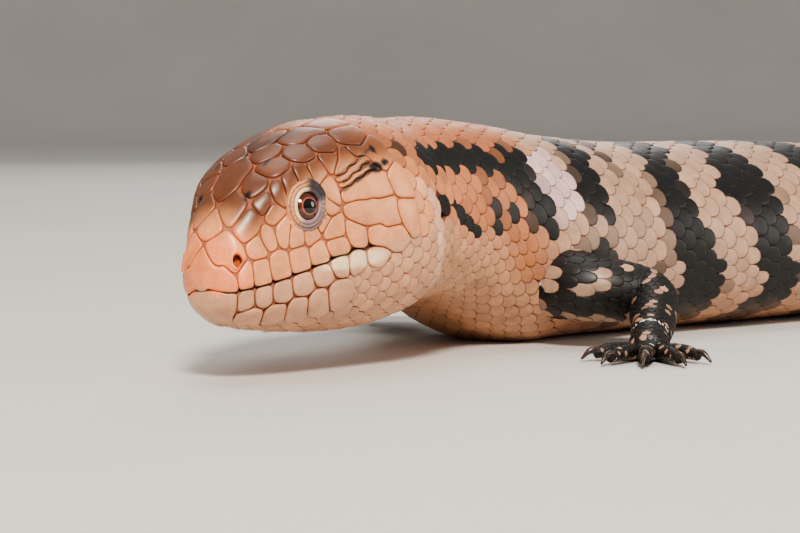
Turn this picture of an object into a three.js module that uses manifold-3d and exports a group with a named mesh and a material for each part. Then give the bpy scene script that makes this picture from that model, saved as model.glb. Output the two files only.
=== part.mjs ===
// A life-size blue tongued skink at rest, its head turned a little to its left and dipped.
// Millimetres, +Z up, floor at z = 0, snout towards -X, the animal's left side towards -Y.
import * as THREE from 'three';
import { LoftGeometry } from 'three/addons/geometries/LoftGeometry.js';
import { mergeVertices } from 'three/addons/utils/BufferGeometryUtils.js';
import Module from 'manifold-3d';

const wasm = await Module();
wasm.setup();

// Driving dimensions
const TOTAL_LENGTH = 520;
const HEAD_END = 67;
const NECK_END = 104;
const TORSO_MIDDLE = 212;
const TORSO_END = 322;
const TAIL_CUTS = [385, 450];
const SNOUT_AT = [-253.6, -14.1];
const GAP = 0.3;

// Lengths along the body are measured from the snout tip, along the line of the mouth and the spine.
// Each row: length, then the value there.
const HEADING = [[0, 12], [66, 12], [92, 10], [130, 3], [180, -6], [240, -5], [300, 4], [345, 13],
  [400, 24], [455, 18], [TOTAL_LENGTH, -10]];
const LINE_HEIGHT = [[0, 18.4], [30, 23.1], [66, 28.9], [82, 30.2], [102, 28.6], [128, 25], [165, 22.4], [270, 22], [300, 20],
  [322, 17.2], [345, 14.2], [400, 10.9], [460, 6.9], [505, 3.6], [TOTAL_LENGTH, 2.4]];
const ROLL = [[0, -4.5], [66, -4.5], [110, 0], [TOTAL_LENGTH, 0]];
const HALF_WIDTH = [[0, 0.9], [0.5, 3], [2, 5.6], [5, 8], [10, 11], [16, 13.7], [22, 15.6], [30, 18.2], [40, 21.2],
  [48, 23], [55, 23.6], [62, 22.5], [70, 21.2], [82, 21.6], [96, 23.8], [112, 27.5], [130, 31], [165, 35],
  [205, 36.5], [245, 36], [280, 32.5], [300, 28.5], [322, 21.5], [345, 17.2], [400, 12.6], [460, 8], [505, 3.9],
  [515, 2.2], [TOTAL_LENGTH, 0]];
const TOP = [[0, 3.7], [0.5, 6.6], [2, 9.5], [5, 13.2], [10, 18.4], [16, 23], [22, 26.2], [30, 28.7], [40, 30],
  [48, 30.2], [55, 29.8], [62, 28.6], [72, 27], [90, 26.4], [112, 26.8], [165, 27.4], [205, 27.5], [245, 26.5],
  [280, 24.5], [300, 22.5], [322, 19.2], [345, 16], [400, 11.7], [460, 7.3], [505, 3.5], [515, 1.9], [TOTAL_LENGTH, 0]];
const UNDER = [[0, 1.9], [0.5, -1.2], [2, -4], [5, -6.3], [10, -8.9], [16, -10.9], [22, -12.6], [30, -14.7],
  [40, -17], [48, -18], [55, -18.1], [62, -17.2], [72, -17.4], [90, -20.4], [104, -25.4], [118, -27.4], [128, -25.6], [165, -23],
  [270, -22.6], [300, -20.6], [322, -17.7], [345, -14.6], [400, -11.2], [460, -7.1], [505, -3.7], [515, -2.2],
  [TOTAL_LENGTH, 0]];
const CROWN_SQUARENESS = [[0, 2], [2, 2.2], [10, 2.6], [22, 2.9], [34, 2.8], [48, 2.5], [62, 2.2], [110, 2.1],
  [TOTAL_LENGTH, 2]];
const BELLY_SQUARENESS = 2.35;
const WIDEST_SHARE = 0.4;

// Relief raised over or sunk into the smooth body: length, angle round the body, their spreads, height.
// Angle 0 is the animal's left, 90 its back; each row is repeated on the right.
const RELIEF = [
  [21, 47, 7, 11, 1.0],
  [12, 30, 6, 12, -0.9],
  [24, 12, 6, 9, -0.8],
  [46, 8, 10, 20, 0.8],
  [34, 34, 7, 9, -0.5],
  [4, 8, 3, 12, 0.5],
  [116, 0, 12, 24, 1.5],
  [302, 0, 12, 24, 1.5],
];

// Head features, in millimetres back from the snout, left of the middle and up from the line of the mouth
const SNOUT_FACE = 0.3;
const MOUTH_START = 0.5;
const MOUTH_CORNER = 47;
const MOUTH_RISE = 3.4;
const MOUTH_SLIT = 0.42;
const MOUTH_DEPTH = 1.1;
const EYE = { back: 22, up: 14.8, radius: 4.7, stand: 1.7 };
const LID = { thick: 0.9, halfWidth: 3.7, halfHeight: 3.1 };
const NOSTRIL = { back: 5.6, up: 7.4, radius: 0.95 };
const EAR = { back: 61, up: 5.5, halfLength: 2.1, halfHeight: 3.6, depth: 2.6 };

// Head shields. Each has its centre as [length, angle], or more centres where it is long, and the ones
// in SIDE_SHIELDS are on both sides. Lip shields have a twin below the mouth.
const MIDDLE_SHIELDS = {
  rostral: [[1.15, 90]],
  frontonasal: [[5.4, 90]],
  frontal: [[13.6, 90], [18.2, 90]],
  interparietal: [[27.5, 90], [32, 90]],
  nuchal: [[40.5, 90]],
};
const SIDE_SHIELDS = {
  nasal: [[3.3, 27.5]],
  prefrontal: [[9.4, 68]],
  loreal_front: [[8.3, 25]],
  loreal_back: [[9.1, 42]],
  preocular: [[14.1, 37]],
  subocular_1: [[11.6, 26.5]],
  subocular_2: [[14.6, 23.5]],
  subocular_3: [[17.1, 17]],
  subocular_4: [[21.3, 15]],
  postocular_1: [[27.8, 31.5]],
  postocular_2: [[25.8, 25]],
  postocular_3: [[24.6, 20]],
  supraciliary_1: [[13.6, 46.5]],
  supraciliary_2: [[16.4, 44]],
  supraciliary_3: [[19.4, 42.5]],
  supraciliary_4: [[23.1, 41]],
  supraciliary_5: [[26.8, 40.5]],
  supraocular_1: [[14.6, 59]],
  supraocular_2: [[19.6, 58]],
  supraocular_3: [[26.6, 55]],
  supraocular_4: [[33.2, 54]],
  frontoparietal: [[23.4, 76]],
  parietal: [[31.5, 70], [35.5, 72]],
  nuchal_side: [[42, 74]],
  temporal_low_1: [[26.6, 12]],
  temporal_low_2: [[31.1, 7.5]],
  temporal_low_3: [[39.4, 5.5]],
  temporal_middle: [[31.6, 18.5], [39.6, 15]],
  temporal_upper: [[33.3, 26], [37, 24.6], [40.8, 24.2]],
  temporal_back_1: [[47.2, 22]],
  temporal_back_2: [[46.4, 12]],
  narrow_1: [[32.6, 32.5], [36.1, 35]],
  narrow_2: [[37.4, 31], [40.6, 33.5]],
  ridge_1: [[37.1, 43]],
  ridge_2: [[32, 41]],
  ridge_3: [[41.5, 52]],
  ridge_4: [[44, 40]],
};
const LIP_SHIELDS = [[4.6, 8.5], [8.1, 5], [11.8, 4.5], [16.8, 5], [22, 5], [26.4, 4.6]];
const EYE_CELL = [21.3, 29];
const SHIELD_RISE = 0.35;
const SHIELD_BEVEL = 0.55;
const SHIELD_EDGE = 6;
const THROAT_SCALE = 6.4;
const HEAD_RIM_CORNERS = 44;

const LEFT = 1;
const RIGHT = -1;
const radians = THREE.MathUtils.degToRad;

// A smooth line through rows of [length, value], with no overshoot between them.
function profile(rows) {
  const slopes = rows.slice(1).map((row, i) => (row[1] - rows[i][1]) / (row[0] - rows[i][0]));
  const tangents = rows.map((_, i) => {
    if (i === 0) return slopes[0];
    if (i === rows.length - 1) return slopes[i - 1];
    const [before, after] = [slopes[i - 1], slopes[i]];
    if (before * after <= 0) return 0;
    const spanBefore = rows[i][0] - rows[i - 1][0];
    const spanAfter = rows[i + 1][0] - rows[i][0];
    return 3 * (spanBefore + spanAfter)
      / ((2 * spanAfter + spanBefore) / before + (spanAfter + 2 * spanBefore) / after);
  });
  return (length) => {
    const s = THREE.MathUtils.clamp(length, rows[0][0], rows.at(-1)[0]);
    let i = 0;
    while (i < rows.length - 2 && s >= rows[i + 1][0]) i += 1;
    const span = rows[i + 1][0] - rows[i][0];
    const t = (s - rows[i][0]) / span;
    return (1 + 2 * t) * (1 - t) ** 2 * rows[i][1] + t * (1 - t) ** 2 * span * tangents[i]
      + t * t * (3 - 2 * t) * rows[i + 1][1] + t * t * (t - 1) * span * tangents[i + 1];
  };
}

const heading = profile(HEADING);
const lineHeight = profile(LINE_HEIGHT);
const roll = profile(ROLL);
const halfWidth = profile(HALF_WIDTH);
const top = profile(TOP);
const under = profile(UNDER);
const crownSquareness = profile(CROWN_SQUARENESS);

// The line of the body on the floor plan, one point a millimetre, walked from the snout to the tail tip
const plan = [new THREE.Vector2(...SNOUT_AT)];
for (let s = 0; s < TOTAL_LENGTH; s += 1) {
  const turn = radians(heading(s + 0.5));
  plan.push(plan.at(-1).clone().add(new THREE.Vector2(Math.cos(turn), Math.sin(turn))));
}

// The body's own axes at a length: back along it, to its left and up.
function frameAt(length) {
  const s = THREE.MathUtils.clamp(length, 0, TOTAL_LENGTH);
  const i = Math.min(Math.floor(s), TOTAL_LENGTH - 1);
  const spot = plan[i].clone().lerp(plan[i + 1], s - i);
  const turn = radians(heading(s));
  const rise = (lineHeight(Math.min(s + 1, TOTAL_LENGTH)) - lineHeight(Math.max(s - 1, 0)))
    / (Math.min(s + 1, TOTAL_LENGTH) - Math.max(s - 1, 0));
  const back = new THREE.Vector3(Math.cos(turn), Math.sin(turn), rise).normalize();
  const left = new THREE.Vector3(Math.sin(turn), -Math.cos(turn), 0);
  const up = new THREE.Vector3().crossVectors(left, back);
  left.applyAxisAngle(back, radians(roll(s)));
  up.applyAxisAngle(back, radians(roll(s)));
  return { origin: new THREE.Vector3(spot.x, spot.y, lineHeight(s)), back, left, up };
}

// A point given in the body's own axes at a length, with the frame held straight over the head.
function place(length, left, up) {
  const frame = frameAt(length);
  return frame.origin.clone().addScaledVector(frame.left, left).addScaledVector(frame.up, up);
}

function reliefAt(length, degrees) {
  const folded = degrees > 90 && degrees <= 270 ? 180 - degrees : degrees > 270 ? degrees - 360 : degrees;
  return RELIEF.reduce((sum, [at, angle, along, round, height]) => sum
    + height * Math.exp(-(((length - at) / along) ** 2) - ((folded - angle) / round) ** 2), 0);
}

// A point on the skin: the length along the body, the angle round it, and how far outside the skin it lies.
function skinPoint(length, degrees, outside = 0) {
  const turn = radians(degrees);
  const [c, s] = [Math.cos(turn), Math.sin(turn)];
  const squareness = s > 0 ? crownSquareness(length) : BELLY_SQUARENESS;
  const reach = (Math.abs(c) ** squareness + Math.abs(s) ** squareness) ** (-1 / squareness);
  const middle = under(length) + (top(length) - under(length)) * WIDEST_SHARE;
  const height = s > 0 ? top(length) - middle : middle - under(length);
  const fade = Math.min(1, halfWidth(length) / 6);
  const extra = outside + reliefAt(length, degrees) * fade;
  const point = place(length, c * (halfWidth(length) * reach + extra), middle + s * (height * reach + extra));
  point.z = Math.max(point.z, -outside);
  return point;
}

// The angle round the head at which the skin has a given height over the line of the mouth.
function angleAtHeight(length, up) {
  const middle = under(length) + (top(length) - under(length)) * WIDEST_SHARE;
  let [low, high] = [-80, 80];
  for (let step = 0; step < 30; step += 1) {
    const half = (low + high) / 2;
    const s = Math.sin(radians(half));
    const c = Math.cos(radians(half));
    const squareness = s > 0 ? crownSquareness(length) : BELLY_SQUARENESS;
    const reach = (Math.abs(c) ** squareness + Math.abs(s) ** squareness) ** (-1 / squareness);
    const height = s > 0 ? top(length) - middle : middle - under(length);
    if (middle + s * height * reach < up) low = half;
    else high = half;
  }
  return low;
}

// A closed solid from a geometry whose shared corners are merged and whose empty triangles are dropped.
function solid(geometry) {
  const bare = new THREE.BufferGeometry();
  const source = geometry.index ? geometry.toNonIndexed() : geometry;
  bare.setAttribute('position', source.getAttribute('position'));
  const merged = mergeVertices(bare, 1e-4);
  const corners = [...merged.index.array];
  const kept = [];
  for (let i = 0; i < corners.length; i += 3) {
    const [a, b, c] = corners.slice(i, i + 3);
    if (a !== b && b !== c && c !== a) kept.push(a, b, c);
  }
  const numbers = { numProp: 3, vertProperties: merged.attributes.position.array, triVerts: new Uint32Array(kept) };
  return new wasm.Manifold(new wasm.Mesh(numbers));
}

// A closed tube through rings of points, which are turned so that its faces look outwards.
function loft(sections) {
  const [first, next] = sections;
  const normal = new THREE.Vector3();
  const onward = new THREE.Vector3();
  first.forEach((point, i) => {
    const follower = first[(i + 1) % first.length];
    normal.add(point.clone().sub(first[0]).cross(follower.clone().sub(first[0])));
    onward.add(next[i]).sub(point);
  });
  const rings = normal.dot(onward) < 0 ? sections.map((ring) => [...ring].reverse()) : sections;
  return solid(new LoftGeometry(rings, { capStart: true, capEnd: true }));
}

// The largest closed surface of a solid, so that a sealed hollow or a loose scrap is dropped.
function largest(body) {
  return body.decompose().sort((a, b) => b.volume() - a.volume())[0];
}

// A length of the body between two cuts, in rings.
function bodyLength(from, to, rings, corners, outside = 0) {
  const sections = [];
  for (let i = 0; i <= rings; i += 1) {
    const length = from + (to - from) * (i / rings);
    sections.push(Array.from({ length: corners }, (_, j) => skinPoint(length, (360 * j) / corners, outside)));
  }
  return loft(sections);
}

// A round tube through points with a radius at each, its sections square to the line.
function limb(points, radii, corners, steps = (points.length - 1) * 2) {
  const line = new THREE.CatmullRomCurve3(points, false, 'centripetal');
  const sections = [];
  for (let i = 0; i <= steps; i += 1) {
    const t = i / steps;
    const spot = line.getPoint(t);
    const along = line.getTangent(t);
    const k = Math.min(Math.floor(t * (points.length - 1)), points.length - 2);
    const share = t * (points.length - 1) - k;
    const radius = radii[k] * (1 - share) + radii[k + 1] * share;
    const side = new THREE.Vector3(0, 0, 1).cross(along).normalize();
    const over = new THREE.Vector3().crossVectors(along, side);
    sections.push(Array.from({ length: corners }, (_, j) => {
      const turn = (2 * Math.PI * j) / corners;
      const point = spot.clone().addScaledVector(side, Math.cos(turn) * radius)
        .addScaledVector(over, Math.sin(turn) * radius);
      return point;
    }));
  }
  return loft(sections);
}

// The head's skin laid flat round the snout tip, so that shields of one size look alike wherever they lie.
function spread(length) {
  return length ** 0.6 * Math.exp(length / 34);
}

function spreadBack(far) {
  let [low, high] = [1e-4, HEAD_END + 10];
  for (let step = 0; step < 48; step += 1) {
    const half = (low + high) / 2;
    if (spread(half) < far) low = half;
    else high = half;
  }
  return low;
}

function flat([length, degrees]) {
  return new THREE.Vector2(Math.cos(radians(degrees)), Math.sin(radians(degrees)))
    .multiplyScalar(spread(length));
}

function lift(point, outside) {
  const degrees = THREE.MathUtils.radToDeg(Math.atan2(point.y, point.x));
  return skinPoint(spreadBack(point.length()), (degrees + 360) % 360, outside);
}

function mouthAngle(length) {
  return angleAtHeight(length, mouthHeight(length));
}

// The centres of every shield and of the plain scales of throat and nape, on the flat skin
function scaleCentres() {
  const centres = [];
  const add = (name, spots, raised) => {
    for (const spot of spots) centres.push({ name, raised, at: flat(spot) });
  };
  const across = ([length, degrees]) => [length, 180 - degrees];
  const addBoth = (name, spots, raised) => {
    add(`${name}_left`, spots, raised);
    add(`${name}_right`, spots.map(across), raised);
  };
  for (const [name, spots] of Object.entries(MIDDLE_SHIELDS)) add(name, spots, true);
  for (const [name, spots] of Object.entries(SIDE_SHIELDS)) addBoth(name, spots, true);
  LIP_SHIELDS.forEach(([length, degrees], i) => {
    addBoth(`upper_lip_${i}`, [[length, degrees]], true);
    addBoth(`lower_lip_${i}`, [[length, 2 * mouthAngle(length) - degrees]], true);
  });
  const chin = spreadBack(spread(MIDDLE_SHIELDS.rostral[0][0]) + 2 * spread(SNOUT_FACE));
  add('mental', [[chin, -90]], true);
  addBoth('eye', [EYE_CELL], false);
  let row = 0;
  for (let length = 8.5; length < HEAD_END - 1; length += THROAT_SCALE) {
    const girth = Math.PI * (halfWidth(length) + (top(length) - under(length)) / 2);
    const step = (360 * THROAT_SCALE) / girth;
    const lips = mouthAngle(Math.min(length, MOUTH_CORNER));
    let highest = 90;
    if (length < 28) highest = 2 * lips - 5 - 0.9 * step;
    else if (length < MOUTH_CORNER) highest = lips - 0.8 * step;
    for (let degrees = -90 + (row % 2) * 0.5 * step; degrees < highest; degrees += step) {
      const spots = degrees === -90 ? [[length, -90]] : [[length, degrees], [length, 180 - degrees]];
      for (const spot of spots) {
        const at = flat(spot);
        const room = 3.1 * (at.length() / 26);
        if (centres.every((other) => other.at.distanceTo(at) > room)) add(`plain_${centres.length}`, [spot], false);
      }
    }
    row += 1;
  }
  return centres;
}

// The part of a flat polygon that lies nearer to one centre than to another
function nearer(outline, centre, other) {
  const across = other.clone().sub(centre);
  const limit = (other.lengthSq() - centre.lengthSq()) / 2;
  return outline.flatMap((point, i) => {
    const next = outline[(i + 1) % outline.length];
    const [here, there] = [point.dot(across) - limit, next.dot(across) - limit];
    const kept = here <= 0 ? [point] : [];
    if ((here < 0) !== (there < 0) && here !== there) kept.push(point.clone().lerp(next, here / (here - there)));
    return kept;
  });
}

// Every scale of the head as an outline on the flat skin, with the parts of a long shield joined
function scaleCells() {
  const centres = scaleCentres();
  const far = spread(HEAD_END - GAP / 2);
  const rim = Array.from({ length: HEAD_RIM_CORNERS }, (_, i) => flat([HEAD_END - GAP / 2,
    (360 * i) / HEAD_RIM_CORNERS]).setLength(far));
  const same = (a, b) => a.distanceTo(b) < 2e-5;
  const shields = new Map();
  for (const { name, raised, at } of centres) {
    let outline = rim;
    for (const other of centres) {
      if (other.at !== at && outline.length > 0) outline = nearer(outline, at, other.at);
    }
    const edges = outline.map((point, i) => [point, outline[(i + 1) % outline.length]])
      .filter(([start, end]) => !same(start, end));
    const twin = shields.get(name);
    if (twin) twin.push(edges);
    else shields.set(name, Object.assign([edges], { raised }));
  }
  return [...shields.values()].flatMap((parts) => {
    const edges = parts.flat().filter(([start, end]) => !parts.flat().some(([from, to]) =>
      same(start, to) && same(end, from)));
    const outlines = [];
    while (edges.length > 0) {
      const chain = [edges.shift()];
      for (let found = 0; found >= 0;) {
        found = edges.findIndex(([start]) => same(start, chain.at(-1)[1]));
        if (found >= 0) chain.push(...edges.splice(found, 1));
      }
      outlines.push({ outline: chain.map(([start]) => start), raised: parts.raised });
    }
    return outlines;
  });
}

// A surface open along one loop, closed with a fan round the middle of that loop
function capped(points) {
  const open = mergeVertices(new THREE.BufferGeometry().setFromPoints(points), 1e-3);
  const spots = open.getAttribute('position');
  const at = (i) => new THREE.Vector3().fromBufferAttribute(spots, i);
  const faces = [];
  for (let i = 0; i < open.index.count; i += 3) {
    const face = [0, 1, 2].map((k) => open.index.getX(i + k));
    if (new Set(face).size === 3) faces.push(face);
  }
  const sides = faces.flatMap(([a, b, c]) => [[a, b], [b, c], [c, a]]);
  const taken = new Set(sides.map(([a, b]) => `${a} ${b}`));
  const loose = sides.filter(([a, b]) => !taken.has(`${b} ${a}`));
  const middle = loose.reduce((sum, [a]) => sum.add(at(a)), new THREE.Vector3()).divideScalar(loose.length);
  const fan = loose.flatMap(([a, b]) => [at(b), at(a), middle]);
  return solid(new THREE.BufferGeometry().setFromPoints([...faces.flat().map(at), ...fan]));
}

// The head's skin: a raised shield with a bevelled edge in each marked cell, a flat scale in the others
function headSkin() {
  const points = [];
  for (const { outline, raised } of scaleCells()) {
    const rim = outline.flatMap((corner, i) => {
      const next = outline[(i + 1) % outline.length];
      const pieces = Math.max(1, Math.ceil(lift(corner, 0).distanceTo(lift(next, 0)) / SHIELD_EDGE));
      return Array.from({ length: pieces }, (_, k) => corner.clone().lerp(next, k / pieces));
    });
    const centre = rim.reduce((sum, point) => sum.add(point), new THREE.Vector2()).divideScalar(rim.length);
    const width = Math.max(...rim.map((point) => lift(point, 0).distanceTo(lift(centre, 0))));
    const rings = [rim.map((point) => lift(point, 0))];
    if (raised) {
      const shrunk = (share) => rim.map((point) => lift(point.clone().lerp(centre, share), SHIELD_RISE));
      rings.push(rim.map((point) => {
        const span = lift(point, 0).distanceTo(lift(centre, 0));
        return lift(point.clone().lerp(centre, Math.min(0.4, SHIELD_BEVEL / span)), SHIELD_RISE);
      }));
      if (width > 5.5) rings.push(shrunk(0.52));
    }
    for (let ring = 1; ring < rings.length; ring += 1) {
      const [outer, inner] = [rings[ring - 1], rings[ring]];
      outer.forEach((point, i) => {
        const j = (i + 1) % outer.length;
        points.push(point, outer[j], inner[j], point, inner[j], inner[i]);
      });
    }
    const crown = lift(centre, raised ? SHIELD_RISE + 0.05 : 0);
    const last = rings.at(-1);
    last.forEach((point, i) => points.push(point, last[(i + 1) % last.length], crown));
  }
  return capped(points);
}

// Head: the shielded skin, an eyelid ball round each eye, and the openings sunk into it
function eyeSeat(side) {
  const angle = angleAtHeight(EYE.back, EYE.up);
  const degrees = side === LEFT ? angle : 180 - angle;
  const surface = skinPoint(EYE.back, degrees);
  const ahead = skinPoint(EYE.back - 3, degrees);
  const behind = skinPoint(EYE.back + 3, degrees);
  const above = skinPoint(EYE.back, degrees + 8);
  const below = skinPoint(EYE.back, degrees - 8);
  const out = behind.clone().sub(ahead).cross(above.clone().sub(below)).normalize();
  const inside = place(EYE.back, 0, EYE.up);
  if (out.dot(surface.clone().sub(inside)) < 0) out.negate();
  return { centre: surface.clone().addScaledVector(out, EYE.stand - EYE.radius), out };
}

function ball(centre, radius, round, high) {
  return solid(new THREE.SphereGeometry(radius, round, high).translate(centre.x, centre.y, centre.z));
}

// An oval plug along a direction, used to open the lids, the nostrils and the ears.
function ovalPlug(centre, out, halfWide, halfHigh, inward, outward, corners = 14) {
  const wide = new THREE.Vector3(0, 0, 1).cross(out).normalize();
  const high = new THREE.Vector3().crossVectors(out, wide);
  const rings = [[-inward, 0.55], [0, 0.9], [outward, 1.15]];
  return loft(rings.map(([along, size]) => Array.from({ length: corners }, (_, j) => {
    const turn = (2 * Math.PI * j) / corners;
    return centre.clone().addScaledVector(out, along)
      .addScaledVector(wide, Math.cos(turn) * halfWide * size)
      .addScaledVector(high, Math.sin(turn) * halfHigh * size);
  })));
}

function mouthHeight(length) {
  return MOUTH_RISE * THREE.MathUtils.smoothstep(length, 24, MOUTH_CORNER);
}

// The slit between the lips, from one corner of the mouth round the snout to the other.
function mouthSlit() {
  const steps = 21;
  const path = [];
  for (let i = -steps; i <= steps; i += 1) {
    const share = Math.abs(i) / steps;
    const length = MOUTH_START + (MOUTH_CORNER - MOUTH_START) * share ** 1.7;
    const angle = angleAtHeight(length, mouthHeight(length));
    if (i === 0) path.push(place(SNOUT_FACE, 0, 0));
    else path.push(skinPoint(length, i < 0 ? angle : 180 - angle));
  }
  const up = frameAt(0).up;
  return loft(path.map((point, i) => {
    const along = path[Math.min(i + 1, path.length - 1)].clone().sub(path[Math.max(i - 1, 0)]);
    const out = new THREE.Vector3().crossVectors(up, along).normalize();
    const lip = point.clone().addScaledVector(out, 0.7);
    return [lip.clone().addScaledVector(up, MOUTH_SLIT), point.clone().addScaledVector(out, -MOUTH_DEPTH),
      lip.clone().addScaledVector(up, -MOUTH_SLIT)];
  }));
}

function head() {
  let body = headSkin();
  for (const side of [LEFT, RIGHT]) {
    const eye = eyeSeat(side);
    const rim = eye.centre.clone().addScaledVector(eye.out, EYE.radius);
    body = body.add(ball(eye.centre, EYE.radius + GAP + LID.thick, 18, 12))
      .subtract(ovalPlug(rim, eye.out, LID.halfWidth, LID.halfHeight, 1.6, 2))
      .subtract(ball(eye.centre, EYE.radius + GAP, 18, 12));
    body = body.subtract(sunk(NOSTRIL.back, NOSTRIL.up, side, NOSTRIL.radius, NOSTRIL.radius * 1.3, 1.6));
    body = body.subtract(sunk(EAR.back, EAR.up, side, EAR.halfLength, EAR.halfHeight, EAR.depth));
  }
  return largest(body.subtract(mouthSlit()));
}

// An oval opening sunk square into the skin of the head.
function sunk(back, up, side, halfWide, halfHigh, depth) {
  const angle = angleAtHeight(back, up);
  const degrees = side === LEFT ? angle : 180 - angle;
  const surface = skinPoint(back, degrees);
  const out = skinPoint(back, degrees, 2).sub(surface).normalize();
  return ovalPlug(surface, out, halfWide, halfHigh, depth, 1.2, 10);
}

function eyeball(side) {
  return ball(eyeSeat(side).centre, EYE.radius, 16, 12);
}

// Legs: each row is a joint as [length along the body, distance left or right, height], then its radius
const LEGS = {
  front_left: { side: LEFT, at: 113, line: [[115, 14, 17, 10.5], [112, 31, 15, 8.6], [122, 44, 12.5, 7],
    [112, 51, 7.6, 5.6], [102, 55, 4.6, 4.8]], toes: -30 },
  front_right: { side: RIGHT, at: 113, line: [[115, 14, 17, 10.5], [117, 31, 15, 8.6], [131, 42, 12.5, 7],
    [124, 52, 7.6, 5.6], [115, 57, 4.6, 4.8]], toes: -22 },
  hind_left: { side: LEFT, at: 301, line: [[303, 10, 16, 12], [294, 29, 15.5, 10], [284, 42, 13, 8.2],
    [290, 52, 8.6, 6.2], [296, 58, 5.4, 5.2]], toes: -72 },
  hind_right: { side: RIGHT, at: 301, line: [[303, 10, 16, 12], [302, 30, 15.5, 10], [297, 43, 13, 8.2],
    [305, 52, 8.6, 6.2], [312, 57, 5.4, 5.2]], toes: -84 },
};
const TOE_SPREAD = [-54, -26, 2, 30, 62];
const TOE_LENGTH = [7.5, 10, 11, 10, 7];
const TOE_RADIUS = 1.9;
const CLAW_LENGTH = 3.4;
const PALM_LENGTH = 8;

function legLine(leg) {
  return leg.line.map(([length, out, height]) => {
    const frame = frameAt(length);
    const point = frame.origin.clone().addScaledVector(frame.left, leg.side * out);
    point.z = height;
    return point;
  });
}

function torsoClearance(leg) {
  return bodyLength(leg.at - 34, leg.at + 34, 10, 32, GAP);
}

// The foot's own way forward on the floor, turned out from the snout by the leg's toe angle.
function footForward(leg) {
  const frame = frameAt(leg.at);
  const forward = frame.back.clone().negate().setZ(0).normalize();
  return forward.applyAxisAngle(new THREE.Vector3(0, 0, 1), leg.side * radians(-leg.toes));
}

function upperLeg(leg) {
  const points = legLine(leg);
  const radii = leg.line.map((joint) => joint[3]);
  return largest(limb(points, radii, 14).subtract(torsoClearance(leg)).trimByPlane([0, 0, 1], 0));
}

function foot(leg) {
  const points = legLine(leg);
  const wrist = points.at(-1);
  const along = wrist.clone().sub(points.at(-2)).normalize();
  const start = wrist.clone().addScaledVector(along, GAP);
  const forward = footForward(leg);
  const radius = leg.line.at(-1)[3];
  const palm = start.clone().addScaledVector(forward, PALM_LENGTH).setZ(2.2);
  const middle = start.clone().lerp(palm, 0.5).setZ(3);
  const ankle = start.clone().addScaledVector(along, 2);
  let body = limb([start, ankle, middle, palm, palm.clone().addScaledVector(forward, 1.5)],
    [radius, radius, radius + 0.4, radius - 0.2, 2.6], 10);
  TOE_SPREAD.forEach((spread, i) => {
    const way = forward.clone().applyAxisAngle(new THREE.Vector3(0, 0, 1), leg.side * radians(-spread));
    const root = middle.clone().addScaledVector(way, 2).setZ(2.2);
    const knuckle = root.clone().addScaledVector(way, PALM_LENGTH * 0.62 + TOE_LENGTH[i] * 0.5).setZ(2.5);
    const tip = root.clone().addScaledVector(way, PALM_LENGTH * 0.62 + TOE_LENGTH[i]).setZ(1.8);
    const claw = tip.clone().addScaledVector(way, CLAW_LENGTH).setZ(0.55);
    body = body.add(limb([root, knuckle, tip], [TOE_RADIUS + 0.3, TOE_RADIUS, TOE_RADIUS * 0.72], 6, 3));
    body = body.add(limb([tip.clone().addScaledVector(way, -1.5), tip.clone().addScaledVector(way, 1).setZ(2),
      claw], [1, 0.8, 0.25], 5, 3));
  });
  const shin = limb(points, leg.line.map((joint) => joint[3] + GAP), 14);
  return largest(body.subtract(shin).trimByPlane([0, 0, 1], 0));
}

// A material for each finish
const finishes = {
  face: new THREE.MeshStandardMaterial({ color: 0xd9a583, roughness: 0.45, metalness: 0 }),
  flank: new THREE.MeshStandardMaterial({ color: 0xc99a86, roughness: 0.5, metalness: 0 }),
  limbs: new THREE.MeshStandardMaterial({ color: 0x3a302b, roughness: 0.5, metalness: 0 }),
  iris: new THREE.MeshStandardMaterial({ color: 0x6b3826, roughness: 0.1, metalness: 0 }),
};

function meshOf(name, body, finish) {
  const { vertProperties, triVerts } = body.getMesh();
  const geometry = new THREE.BufferGeometry();
  geometry.setAttribute('position', new THREE.BufferAttribute(vertProperties, 3));
  geometry.setIndex(new THREE.BufferAttribute(triVerts, 1));
  geometry.computeVertexNormals();
  const mesh = new THREE.Mesh(geometry, finish);
  mesh.name = name;
  return mesh;
}

const skink = new THREE.Group();
skink.add(meshOf('head', head(), finishes.face));
skink.add(meshOf('eye_left', eyeball(LEFT), finishes.iris));
skink.add(meshOf('eye_right', eyeball(RIGHT), finishes.iris));
const half = GAP / 2;
skink.add(meshOf('neck', bodyLength(HEAD_END + half, NECK_END - half, 7, 36), finishes.flank));
skink.add(meshOf('torso_front', bodyLength(NECK_END + half, TORSO_MIDDLE - half, 14, 32), finishes.flank));
skink.add(meshOf('torso_rear', bodyLength(TORSO_MIDDLE + half, TORSO_END - half, 14, 32), finishes.flank));
skink.add(meshOf('tail_base', bodyLength(TORSO_END + half, TAIL_CUTS[0] - half, 8, 24), finishes.flank));
skink.add(meshOf('tail_middle', bodyLength(TAIL_CUTS[0] + half, TAIL_CUTS[1] - half, 8, 20), finishes.flank));
skink.add(meshOf('tail_tip', bodyLength(TAIL_CUTS[1] + half, TOTAL_LENGTH - 0.6, 10, 14), finishes.flank));
for (const [name, leg] of Object.entries(LEGS)) {
  skink.add(meshOf(`leg_${name}`, upperLeg(leg), finishes.limbs));
  skink.add(meshOf(`foot_${name}`, foot(leg), finishes.limbs));
}

export default skink;
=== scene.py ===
import math
from types import SimpleNamespace

import bmesh
import bpy
import numpy as np
from bpy.props import FloatProperty, FloatVectorProperty, IntProperty, PointerProperty
from mathutils import Matrix, Vector


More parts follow.
